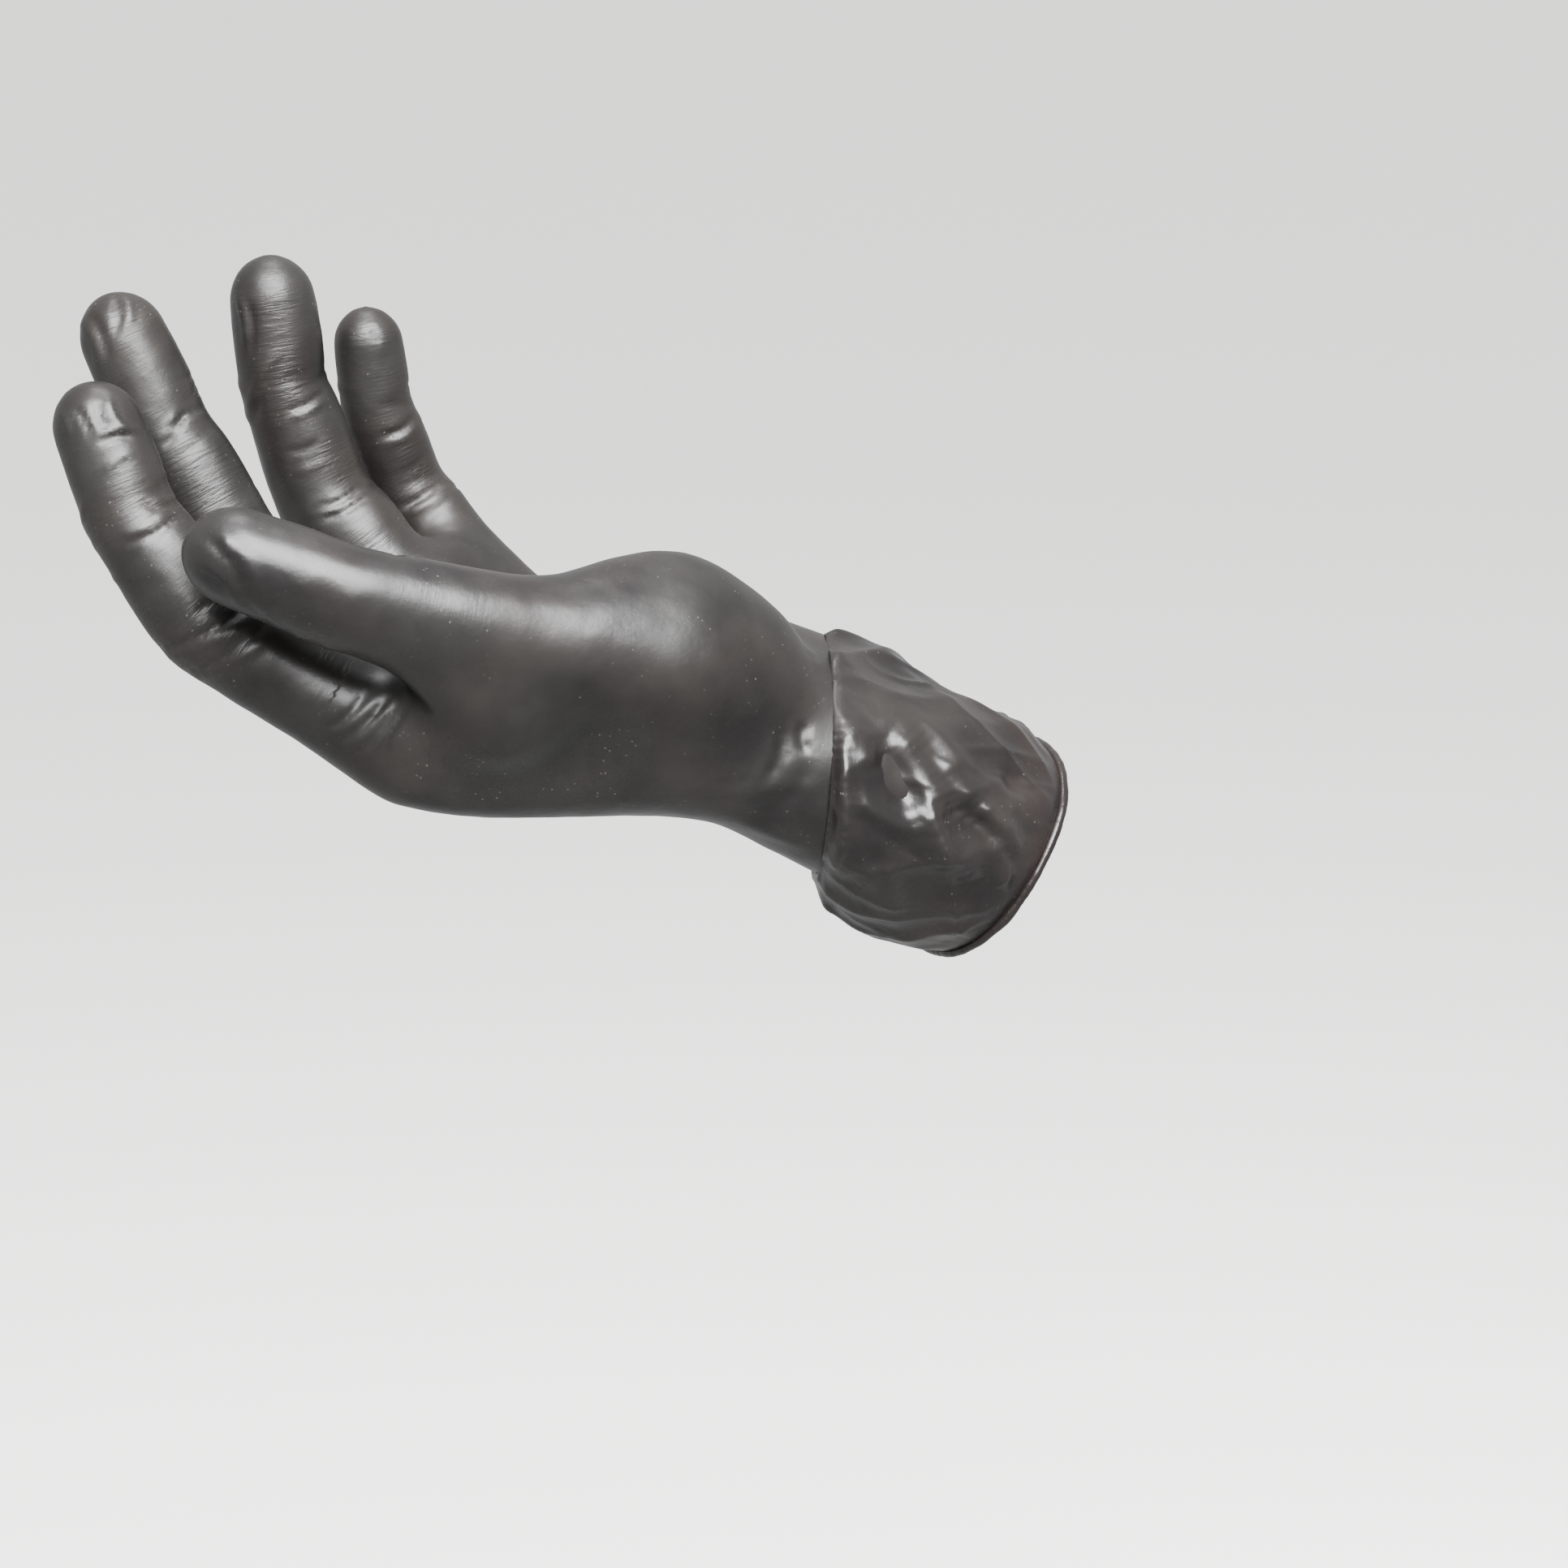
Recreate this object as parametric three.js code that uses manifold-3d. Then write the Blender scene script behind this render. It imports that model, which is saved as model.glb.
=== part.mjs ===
// A black nitrile exam glove, a left hand's, in the shape it has while it is worn: palm up and
// hollowed, fingers curled up, thumb laid across in front, and a loose creased cuff below the wrist.
// Millimetres, +Z up. The hand points along -X, the thumb side faces -Y, and the origin is the
// middle of the wrist, where the wrist fills the glove and holds it.
import * as THREE from "three";
import { ConvexGeometry } from "three/addons/geometries/ConvexGeometry.js";
import { mergeVertices } from "three/addons/utils/BufferGeometryUtils.js";
import Module from "manifold-3d";

const wasm = await Module();
wasm.setup();

// The film and the gaps between its parts.
const FILM = 1;
const GAP = 0.3;

// The hand that fills the glove, measured over the film. Finger lengths run from the knuckle to
// the tip, the thumb's from its root at the wrist, and breadths are taken at the middle joint.
const PALM_LENGTH = 68;
const PALM_BREADTH = 84;
const PALM_THICKNESS = 27;
const WRIST_BREADTH = 60;
const WRIST_THICKNESS = 41;
const THUMB_LENGTH = 116;
const THUMB_BREADTH = 24;
const INDEX_LENGTH = 101;
const INDEX_BREADTH = 20.5;
const MIDDLE_LENGTH = 108;
const MIDDLE_BREADTH = 20.5;
const RING_LENGTH = 97;
const RING_BREADTH = 20;
const LITTLE_LENGTH = 77;
const LITTLE_BREADTH = 16.5;

// The loose cuff: its length from the fold that laps the wrist to the rim, its size at the rim,
// how far it stands off the wrist, how far it sags, and the rolled bead along its edge.
const CUFF_LENGTH = 43;
const RIM_BREADTH = 54;
const RIM_THICKNESS = 48;
const CUFF_SLACK = 3.5;
const CUFF_SAG = 2;
const BEAD_THICKNESS = 2.4;

// Facets round each form.
const FINGER_SIDES = 14;
const PALM_SIDES = 28;
const CUFF_SIDES = 44;
const BEAD_SIDES = 8;

const degrees = THREE.MathUtils.degToRad;
const vector = (x, y, z) => new THREE.Vector3(x, y, z);

// Columns of a table are read between its rows on a smooth curve through them.
function read(table, column, at) {
  const last = table.length - 1;
  let i = table.findIndex((row) => row.at > at) - 1;
  if (i === -2) i = last - 1;
  i = THREE.MathUtils.clamp(i, 0, last - 1);
  const [a, b] = [table[i], table[i + 1]];
  const t = THREE.MathUtils.clamp((at - a.at) / (b.at - a.at), 0, 1);
  const slope = (k) => {
    const [p, q] = [table[Math.max(k - 1, 0)], table[Math.min(k + 1, last)]];
    return ((q[column] - p[column]) / (q.at - p.at)) * (b.at - a.at);
  };
  const [m0, m1] = [slope(i), slope(i + 1)];
  const [t2, t3] = [t * t, t * t * t];
  return (
    (2 * t3 - 3 * t2 + 1) * a[column] +
    (t3 - 2 * t2 + t) * m0 +
    (3 * t2 - 2 * t3) * b[column] +
    (t3 - t2) * m1
  );
}

function steps(from, to, count) {
  return Array.from({ length: count + 1 }, (_, i) => from + ((to - from) * i) / count);
}

// A frame's two directions in the plane of a section: across, tilted by yaw and roll, and up,
// leaning by pitch towards the arm.
function sectionFrame(yaw, roll, pitch) {
  const [y, r, p] = [yaw, roll, pitch].map(degrees);
  const across = vector(Math.sin(y) * Math.cos(r), Math.cos(y) * Math.cos(r), Math.sin(r));
  const up = vector(Math.sin(p), 0, Math.cos(p));
  up.addScaledVector(across, -up.dot(across)).normalize();
  return { across, up };
}

// A closed outline: half sizes across, above and below the centre, with corners rounder as
// fullness nears 2, and the upper side sunk in the middle by hollow.
function outline(centre, frame, half, sides, fullness = 2, hollow = 0) {
  const power = 2 / fullness;
  return Array.from({ length: sides }, (_, i) => {
    const angle = ((i + 0.5) / sides) * 2 * Math.PI;
    const [c, s] = [Math.cos(angle), Math.sin(angle)];
    const side = Math.sign(c) * Math.abs(c) ** power;
    const rise = Math.sign(s) * Math.abs(s) ** power;
    const height = rise * (s > 0 ? half.above : half.below);
    const dip = s > 0 ? hollow * (1 - side * side) * rise : 0;
    return centre
      .clone()
      .addScaledVector(frame.across, side * half.side)
      .addScaledVector(frame.up, height - dip);
  });
}

// A closed body through outlines of one count, with its ends fanned shut.
function loft(rings) {
  const count = rings[0].length;
  const points = rings.flat();
  const faces = [];
  for (let r = 0; r + 1 < rings.length; r++) {
    for (let i = 0; i < count; i++) {
      const [a, b] = [r * count + i, r * count + ((i + 1) % count)];
      faces.push(a, b, b + count, a, b + count, a + count);
    }
  }
  for (const [ring, start] of [[rings[0], 0], [rings.at(-1), (rings.length - 1) * count]]) {
    const middle = ring.reduce((sum, p) => sum.add(p), vector(0, 0, 0)).divideScalar(count);
    points.push(middle);
    for (let i = 0; i < count; i++) {
      const [a, b] = [start + i, start + ((i + 1) % count)];
      faces.push(...(start ? [a, b, points.length - 1] : [b, a, points.length - 1]));
    }
  }
  return solid(new THREE.BufferGeometry().setFromPoints(points).setIndex(faces));
}

// A closed ring through outlines that follow each other round.
function hoop(rings) {
  const count = rings[0].length;
  const faces = [];
  rings.forEach((_, r) => {
    const next = (r + 1) % rings.length;
    for (let i = 0; i < count; i++) {
      const j = (i + 1) % count;
      const [a, b, c, d] = [r * count + i, r * count + j, next * count + j, next * count + i];
      faces.push(a, b, c, a, c, d);
    }
  });
  return solid(new THREE.BufferGeometry().setFromPoints(rings.flat()).setIndex(faces));
}

// A geometry as a solid for joining and cutting, turned to face outwards.
function solid(geometry) {
  for (const name of ["normal", "uv"]) geometry.deleteAttribute(name);
  const merged = mergeVertices(geometry, 1e-4);
  const vertProperties = new Float32Array(merged.attributes.position.array);
  const triVerts = new Uint32Array(merged.index.array);
  const at = (k) => new THREE.Vector3().fromArray(vertProperties, 3 * k);
  let volume = 0;
  for (let i = 0; i < triVerts.length; i += 3) {
    volume += at(triVerts[i]).dot(at(triVerts[i + 1]).cross(at(triVerts[i + 2])));
  }
  if (volume < 0) triVerts.reverse();
  return new wasm.Manifold(new wasm.Mesh({ numProp: 3, vertProperties, triVerts }));
}

function joined(solids) {
  return solids.reduce((all, next) => all.add(next));
}

// The palm, from the film's end inside the cuff to the web of the fingers. at, side and rise are
// the section's centre: at and rise in palm lengths, side in palm breadths. wide and flat go from
// the wrist's size, 0, to the palm's, 1; keep rounds off the end, and hollow cups the palm.
const PALM = [
  { at: -0.2, side: 0.075, rise: -0.13, wide: 0.05, flat: 0.0, keep: 1, hollow: 0, yaw: -19, roll: 14, pitch: 34 },
  { at: 0.0, side: 0.0, rise: 0.0, wide: 0.0, flat: 0.0, keep: 1, hollow: 0, yaw: -14, roll: 14, pitch: 25 },
  { at: 0.28, side: 0.018, rise: 0.105, wide: 0.33, flat: 0.36, keep: 1, hollow: 0.02, yaw: -4, roll: 14, pitch: 8 },
  { at: 0.59, side: 0.02, rise: 0.115, wide: 0.67, flat: 0.64, keep: 1, hollow: 0.12, yaw: 6, roll: 14, pitch: 0 },
  { at: 0.84, side: 0.0, rise: 0.125, wide: 0.95, flat: 0.9, keep: 1, hollow: 0.14, yaw: 14, roll: 15, pitch: 6 },
  { at: 1.0, side: -0.01, rise: 0.19, wide: 1.0, flat: 1.0, keep: 1, hollow: 0.1, yaw: 18, roll: 17, pitch: 18 },
  { at: 1.2, side: 0.0, rise: 0.36, wide: 0.9, flat: 1.2, keep: 0.98, hollow: 0.03, yaw: 15, roll: 19, pitch: 42 },
  { at: 1.26, side: 0.002, rise: 0.42, wide: 0.85, flat: 1.2, keep: 0.6, hollow: 0, yaw: 15, roll: 19, pitch: 44 },
];
const PALM_FULLNESS = 2.35;
const PALM_STEPS = 12;
const WRIST_END = -0.2;
const WEB_END = 1.26;

function palmSection(at, inset, grow = 0) {
  const get = (column) => read(PALM, column, at);
  const mix = THREE.MathUtils.lerp;
  const breadth = mix(WRIST_BREADTH, PALM_BREADTH, get("wide")) * get("keep");
  const thickness = mix(WRIST_THICKNESS, PALM_THICKNESS, get("flat")) * get("keep");
  const centre = vector(-at * PALM_LENGTH, get("side") * PALM_BREADTH, get("rise") * PALM_LENGTH);
  const deep = thickness / 2 - inset + grow;
  return outline(
    centre,
    sectionFrame(get("yaw"), get("roll"), get("pitch")),
    { side: breadth / 2 - inset + grow, above: deep, below: deep },
    PALM_SIDES,
    PALM_FULLNESS,
    get("hollow") * thickness,
  );
}

function palmBody(inset, from, to) {
  return loft(steps(from, to, PALM_STEPS).map((at) => palmSection(at, inset)));
}

// Where the fingers leave the palm: a line across the knuckles, tilted as the palm is.
const KNUCKLES = {
  centre: vector(-0.98 * PALM_LENGTH, -0.018 * PALM_BREADTH, 0.178 * PALM_LENGTH),
  yaw: 18,
  roll: 16,
};

// Root: across in palm breadths, forward in palm lengths, up in palm thicknesses from the middle
// of the knuckles. Bones: each one's share of the length, its pitch above the palm's plane and its
// swing away from the thumb side. Roll turns the joint axes, and split is the share of the
// length at which the digit's film meets the palm's.
const FINGERS = {
  index_finger: {
    length: INDEX_LENGTH, breadth: INDEX_BREADTH, across: -0.357, forward: 0.0, up: 0.0, roll: 10, split: 0.27,
    bones: [
      { share: 0.48, pitch: 32, swing: 0 },
      { share: 0.255, pitch: 57, swing: 8 },
      { share: 0.265, pitch: 69, swing: 11 },
    ],
  },
  middle_finger: {
    length: MIDDLE_LENGTH, breadth: MIDDLE_BREADTH, across: -0.134, forward: 0.075, up: -0.07, roll: 14, split: 0.26,
    bones: [
      { share: 0.45, pitch: 39, swing: 7.5 },
      { share: 0.285, pitch: 62, swing: 5 },
      { share: 0.265, pitch: 65, swing: 5 },
    ],
  },
  ring_finger: {
    length: RING_LENGTH, breadth: RING_BREADTH, across: 0.123, forward: 0.075, up: -0.07, roll: 18, split: 0.27,
    bones: [
      { share: 0.47, pitch: 49, swing: 11.5 },
      { share: 0.25, pitch: 73, swing: -3 },
      { share: 0.28, pitch: 83, swing: 1 },
    ],
  },
  little_finger: {
    length: LITTLE_LENGTH, breadth: LITTLE_BREADTH, across: 0.357, forward: 0.0, up: 0.0, roll: 24, split: 0.29,
    bones: [
      { share: 0.46, pitch: 47, swing: 15 },
      { share: 0.24, pitch: 71, swing: -11 },
      { share: 0.3, pitch: 84, swing: -8 },
    ],
  },
};
const THUMB = {
  length: THUMB_LENGTH, breadth: THUMB_BREADTH, roll: -30, split: 0.6,
  bones: [
    { share: 0.38, pitch: 20, swing: -28 },
    { share: 0.33, pitch: 15, swing: -14 },
    { share: 0.29, pitch: 20.5, swing: -3 },
  ],
};
const THUMB_ROOT = { back: 0.19, side: -0.23, rise: 0.215 };

// Half sizes along a digit in shares of its breadth: to the side, on the pad's side and on the
// nail's. The creases at the two joints pinch the pad's side.
const FINGER_PROFILE = [
  { at: -0.08, side: 0.46, pad: 0.52, nail: 0.4 },
  { at: 0.0, side: 0.54, pad: 0.6, nail: 0.57 },
  { at: 0.14, side: 0.54, pad: 0.58, nail: 0.53 },
  { at: 0.27, side: 0.52, pad: 0.53, nail: 0.49 },
  { at: 0.39, side: 0.51, pad: 0.54, nail: 0.49 },
  { at: 0.47, side: 0.505, pad: 0.46, nail: 0.54 },
  { at: 0.53, side: 0.495, pad: 0.5, nail: 0.49 },
  { at: 0.65, side: 0.475, pad: 0.5, nail: 0.46 },
  { at: 0.73, side: 0.46, pad: 0.42, nail: 0.48 },
  { at: 0.78, side: 0.455, pad: 0.46, nail: 0.45 },
  { at: 0.88, side: 0.44, pad: 0.46, nail: 0.43 },
  { at: 1.0, side: 0.41, pad: 0.42, nail: 0.39 },
];
const THUMB_PROFILE = [
  { at: -0.12, side: 0.4, pad: 0.55, nail: 0.45 },
  { at: -0.05, side: 0.6, pad: 0.78, nail: 0.55 },
  { at: 0.05, side: 0.72, pad: 0.98, nail: 0.62 },
  { at: 0.15, side: 0.78, pad: 1.04, nail: 0.62 },
  { at: 0.28, side: 0.66, pad: 0.83, nail: 0.56 },
  { at: 0.385, side: 0.55, pad: 0.56, nail: 0.52 },
  { at: 0.5, side: 0.5, pad: 0.48, nail: 0.45 },
  { at: 0.62, side: 0.48, pad: 0.45, nail: 0.43 },
  { at: 0.71, side: 0.485, pad: 0.4, nail: 0.45 },
  { at: 0.8, side: 0.475, pad: 0.43, nail: 0.4 },
  { at: 0.92, side: 0.45, pad: 0.42, nail: 0.36 },
  { at: 1.0, side: 0.42, pad: 0.4, nail: 0.34 },
];

// A digit's centre line: straight bones with their joints rounded off.
function centreLine(root, digit) {
  const joints = [root];
  for (const { share, pitch, swing } of digit.bones) {
    const [p, s] = [degrees(pitch), degrees(swing)];
    const way = vector(-Math.cos(p) * Math.cos(s), Math.sin(s), Math.sin(p) * Math.cos(s));
    joints.push(joints.at(-1).clone().addScaledVector(way, share * digit.length));
  }
  const [a, b, c, d] = joints;
  const near = (from, to) => from.clone().lerp(to, 0.4);
  const path = new THREE.CurvePath();
  path.add(new THREE.LineCurve3(a, near(b, a)));
  path.add(new THREE.QuadraticBezierCurve3(near(b, a), b, near(b, c)));
  path.add(new THREE.LineCurve3(near(b, c), near(c, b)));
  path.add(new THREE.QuadraticBezierCurve3(near(c, b), c, near(c, d)));
  path.add(new THREE.LineCurve3(near(c, d), d));
  return path;
}

// A digit is built from its path, profile and joint axis.
function digitOf(root, digit, profile, yaw) {
  return {
    ...digit,
    profile,
    path: centreLine(root, digit),
    axis: sectionFrame(yaw, digit.roll, 0).across,
  };
}

function pointOn(digit, at) {
  const t = THREE.MathUtils.clamp(at, 0, 1);
  const point = digit.path.getPointAt(t);
  return point.addScaledVector(digit.path.getTangentAt(t), (at - t) * digit.length);
}

function digitSection(digit, at, inset, keep = 1) {
  const tangent = digit.path.getTangentAt(THREE.MathUtils.clamp(at, 0, 1));
  const up = digit.axis.clone().cross(tangent).normalize();
  const across = tangent.clone().cross(up);
  const half = (column) => Math.max((read(digit.profile, column, at) * digit.breadth - inset) * keep, 0.05);
  return outline(
    pointOn(digit, at),
    { across, up },
    { side: half("side"), above: half("pad"), below: half("nail") },
    FINGER_SIDES,
  );
}

// A digit's body from one share of its length to its round tip, or to a flat end.
const TIP_ANGLES = [0, 24, 44, 62, 78];
function digitBody(digit, inset, from, to = 1) {
  const round = (read(digit.profile, "pad", 1) * digit.breadth * 1.05) / digit.length;
  const tip = 1 - inset / digit.length;
  const end = to === 1 ? tip - round : to;
  const places = digit.profile.map((row) => row.at).filter((at) => at > from && at < end);
  const rings = [from, ...places, end].map((at) => digitSection(digit, at, inset));
  if (to === 1) {
    for (const angle of TIP_ANGLES.slice(1)) {
      const at = end + Math.sin(degrees(angle)) * round;
      rings.push(digitSection(digit, at, inset, Math.cos(degrees(angle))));
    }
  }
  return loft(rings);
}

function ball(centre, radius) {
  const shape = new THREE.IcosahedronGeometry(radius, 1).translate(...centre.toArray());
  const spots = shape.attributes.position;
  return Array.from({ length: spots.count }, (_, i) => vector(0, 0, 0).fromBufferAttribute(spots, i));
}

// The web between thumb and index finger: skin stretched over balls at its corners.
function webBody(thumb, index, inset) {
  const corners = {
    thumb: ball(pointOn(thumb, 0.51), 0.42 * thumb.breadth - inset),
    base: ball(pointOn(thumb, 0.3), 0.5 * thumb.breadth - inset),
    crotch: ball(CROTCH, 0.29 * thumb.breadth - inset),
    palm: ball(palmMiddle(0.7, -0.2), 0.45 * PALM_THICKNESS - inset),
    index: ball(pointOn(index, 0.1), 0.45 * index.breadth - inset),
  };
  const over = (...names) => solid(new ConvexGeometry(names.flatMap((name) => corners[name])));
  return joined([over("thumb", "base", "crotch"), over("crotch", "base", "palm", "index")]);
}
const CROTCH = vector(-0.882 * PALM_LENGTH, -0.51 * PALM_BREADTH, 0.151 * PALM_LENGTH);

function palmMiddle(at, across) {
  const frame = sectionFrame(read(PALM, "yaw", at), read(PALM, "roll", at), 0);
  const side = read(PALM, "side", at) * PALM_BREADTH;
  const centre = vector(-at * PALM_LENGTH, side, read(PALM, "rise", at) * PALM_LENGTH);
  return centre.addScaledVector(frame.across, across * PALM_BREADTH);
}

function makeDigits() {
  const line = sectionFrame(KNUCKLES.yaw, KNUCKLES.roll, 0);
  const ahead = line.up.clone().cross(line.across).normalize();
  const digits = {};
  for (const [name, finger] of Object.entries(FINGERS)) {
    const root = KNUCKLES.centre
      .clone()
      .addScaledVector(line.across, finger.across * PALM_BREADTH)
      .addScaledVector(ahead, finger.forward * PALM_LENGTH)
      .addScaledVector(line.up, finger.up * PALM_THICKNESS);
    digits[name] = digitOf(root, finger, FINGER_PROFILE, KNUCKLES.yaw);
  }
  const { back, side, rise } = THUMB_ROOT;
  const root = vector(-back * PALM_LENGTH, side * PALM_BREADTH, rise * PALM_LENGTH);
  digits.thumb = digitOf(root, THUMB, THUMB_PROFILE, 0);
  return digits;
}

// The hand's film without its digits: palm, web and the stub of each digit, all hollow.
function palmShell(digits) {
  const filled = (inset, from, over) =>
    joined([
      palmBody(inset, from, WEB_END - inset / PALM_LENGTH),
      webBody(digits.thumb, digits.index_finger, inset),
      ...Object.values(digits).map((digit) => {
        const end = digit.split + (over - GAP / 2) / digit.length;
        return digitBody(digit, inset, digit.profile[0].at, end);
      }),
    ]);
  const beyond = Object.values(digits).map((digit) => digitBody(digit, -GAP, digit.split));
  return filled(0, WRIST_END, 0).subtract(filled(FILM, WRIST_END - 0.1, 3)).subtract(joined(beyond));
}

function digitShell(digit) {
  const start = digit.split + GAP / 2 / digit.length;
  const skin = digitBody(digit, 0, start);
  return skin.subtract(digitBody(digit, FILM, start - 3 / digit.length));
}

const CUFF = {
  fold: vector(0.066 * PALM_LENGTH, 0.03 * PALM_BREADTH, -0.045 * PALM_LENGTH),
  way: vector(0.77, 0.35, -0.51).normalize(),
};

// Sections of the cuff: at is the share of its length, slack the share of its looseness that the
// section has, sag the share of its droop, rim how far it has gone over to the rim's size, and
// yaw, roll and pitch the turn of its plane.
const CUFF_SECTIONS = [
  { at: 0.0, slack: 0.7, sag: 0.3, rim: 0.0, yaw: -3, roll: 9, pitch: 4 },
  { at: 0.06, slack: 1.0, sag: 0.6, rim: 0.0, yaw: -3, roll: 9, pitch: 5 },
  { at: 0.25, slack: 1.15, sag: 1.0, rim: 0.1, yaw: -8, roll: 8, pitch: 11 },
  { at: 0.5, slack: 1.0, sag: 1.0, rim: 0.35, yaw: -14, roll: 5, pitch: 19 },
  { at: 0.75, slack: 0.7, sag: 0.6, rim: 0.7, yaw: -18, roll: 2, pitch: 27 },
  { at: 0.92, slack: 0.25, sag: 0.2, rim: 0.95, yaw: -20, roll: 1, pitch: 32 },
  { at: 1.0, slack: 0.0, sag: 0.0, rim: 1.0, yaw: -20, roll: 0, pitch: 33 },
];
const CUFF_STEPS = 12;

// Main folds of the cuff. Each one runs from round, in degrees from the far side over the top,
// turning by slant degrees over its run from one share of the length to another; high is its
// height and broad its half width, in shares of the cuff's slack.
const CUFF_FOLDS = [
  { round: 150, slant: 40, from: 0.05, to: 0.75, high: 0.5, broad: 1.0 },
  { round: 185, slant: 35, from: 0.1, to: 0.9, high: 0.6, broad: 1.0 },
  { round: 215, slant: -30, from: 0.0, to: 0.4, high: 0.45, broad: 0.9 },
  { round: 245, slant: 35, from: 0.2, to: 0.9, high: 0.35, broad: 1.1 },
  { round: 290, slant: -40, from: 0.05, to: 0.8, high: 0.45, broad: 1.1 },
  { round: 335, slant: 40, from: 0.1, to: 0.9, high: 0.4, broad: 1.0 },
  { round: 30, slant: -35, from: 0.05, to: 0.85, high: 0.5, broad: 1.0 },
  { round: 75, slant: 40, from: 0.1, to: 0.85, high: 0.5, broad: 1.0 },
  { round: 110, slant: -30, from: 0.15, to: 0.9, high: 0.4, broad: 0.9 },
];

function foldHeight(at, angle) {
  const round = (WRIST_BREADTH + WRIST_THICKNESS) / 4;
  return CUFF_FOLDS.reduce((sum, fold) => {
    const run = (at - fold.from) / (fold.to - fold.from);
    if (run <= 0 || run >= 1) return sum;
    const off = THREE.MathUtils.euclideanModulo(angle - fold.round - fold.slant * run + 180, 360) - 180;
    const spread = (degrees(off) * round) / (fold.broad * CUFF_SLACK);
    return sum + fold.high * CUFF_SLACK * Math.sin(Math.PI * run) * Math.exp(-spread * spread);
  }, 0);
}

function cuffSection(at, inset) {
  const get = (column) => read(CUFF_SECTIONS, column, at);
  const mix = THREE.MathUtils.lerp;
  const frame = sectionFrame(get("yaw"), get("roll"), get("pitch"));
  const slack = get("slack") * CUFF_SLACK;
  const side = mix(WRIST_BREADTH, RIM_BREADTH, get("rim")) / 2 + slack - inset;
  const deep = mix(WRIST_THICKNESS, RIM_THICKNESS, get("rim")) / 2 + slack - inset;
  const centre = CUFF.fold.clone().addScaledVector(CUFF.way, at * CUFF_LENGTH);
  const half = { side, above: deep, below: deep + get("sag") * CUFF_SAG };
  const ring = outline(centre, frame, half, CUFF_SIDES, 2.15);
  return ring.map((point, i) => {
    const lift = foldHeight(at, ((i + 0.5) / CUFF_SIDES) * 360);
    const out = point.clone().sub(centre).normalize();
    return point.addScaledVector(out, lift);
  });
}

// The cuff: a creased sleeve whose turned end closes on the wrist's film and whose rim is open.
function cuffShell() {
  const places = steps(0, 1, CUFF_STEPS);
  const inner = [FILM / CUFF_LENGTH, ...places.slice(1)].map((at) => cuffSection(at, FILM));
  const beyond = cuffSection(1, FILM).map((point) => point.addScaledVector(CUFF.way, 3 * FILM));
  const film = steps(WRIST_END, WEB_END, PALM_STEPS).slice(0, 6);
  const wrist = loft([WRIST_END - 0.02, ...film].map((at) => palmSection(at, 0, GAP)));
  return loft(places.map((at) => cuffSection(at, 0)))
    .subtract(loft([...inner, beyond]))
    .subtract(wrist);
}

// The rolled bead that ends the film, just past the cuff's edge.
function beadRing() {
  const radius = BEAD_THICKNESS / 2;
  const line = cuffSection(1, FILM / 2).map((point) => point.addScaledVector(CUFF.way, radius + GAP));
  const middle = line.reduce((sum, p) => sum.add(p), vector(0, 0, 0)).divideScalar(line.length);
  return hoop(
    line.map((point) => {
      const out = point.clone().sub(middle).normalize();
      return outline(point, { across: out, up: CUFF.way }, { side: radius, above: radius, below: radius }, BEAD_SIDES);
    }),
  );
}

// Black nitrile film, satin over the hand and glossier where it is loose and creased.
const FILM_STRETCHED = new THREE.MeshStandardMaterial({ color: "#262524", roughness: 0.48, metalness: 0 });
const FILM_LOOSE = new THREE.MeshStandardMaterial({ color: "#1f1e1d", roughness: 0.32, metalness: 0 });

function mesh(name, shape, material) {
  const { numProp, vertProperties, triVerts, numVert } = shape.getMesh();
  const positions = new Float32Array(numVert * 3);
  for (let i = 0; i < numVert; i++) {
    positions.set(vertProperties.subarray(i * numProp, i * numProp + 3), 3 * i);
  }
  const geometry = new THREE.BufferGeometry();
  geometry.setAttribute("position", new THREE.BufferAttribute(positions, 3));
  geometry.setIndex(new THREE.BufferAttribute(triVerts, 1));
  geometry.computeVertexNormals();
  const made = new THREE.Mesh(geometry, material);
  made.name = name;
  return made;
}

const digits = makeDigits();
const glove = new THREE.Group();
glove.name = "glove";
glove.add(mesh("palm", palmShell(digits), FILM_STRETCHED));
for (const [name, digit] of Object.entries(digits)) {
  glove.add(mesh(name, digitShell(digit), FILM_STRETCHED));
}
glove.add(mesh("cuff", cuffShell(), FILM_LOOSE));
glove.add(mesh("cuff_bead", beadRing(), FILM_LOOSE));

export default glove;
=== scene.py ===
"""Look of a black nitrile exam glove in the shape it has on a left hand, laid out as an add-on."""

import math

import bmesh
import bpy
import numpy as np
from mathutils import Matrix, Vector, noise
from mathutils.bvhtree import BVHTree


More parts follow.
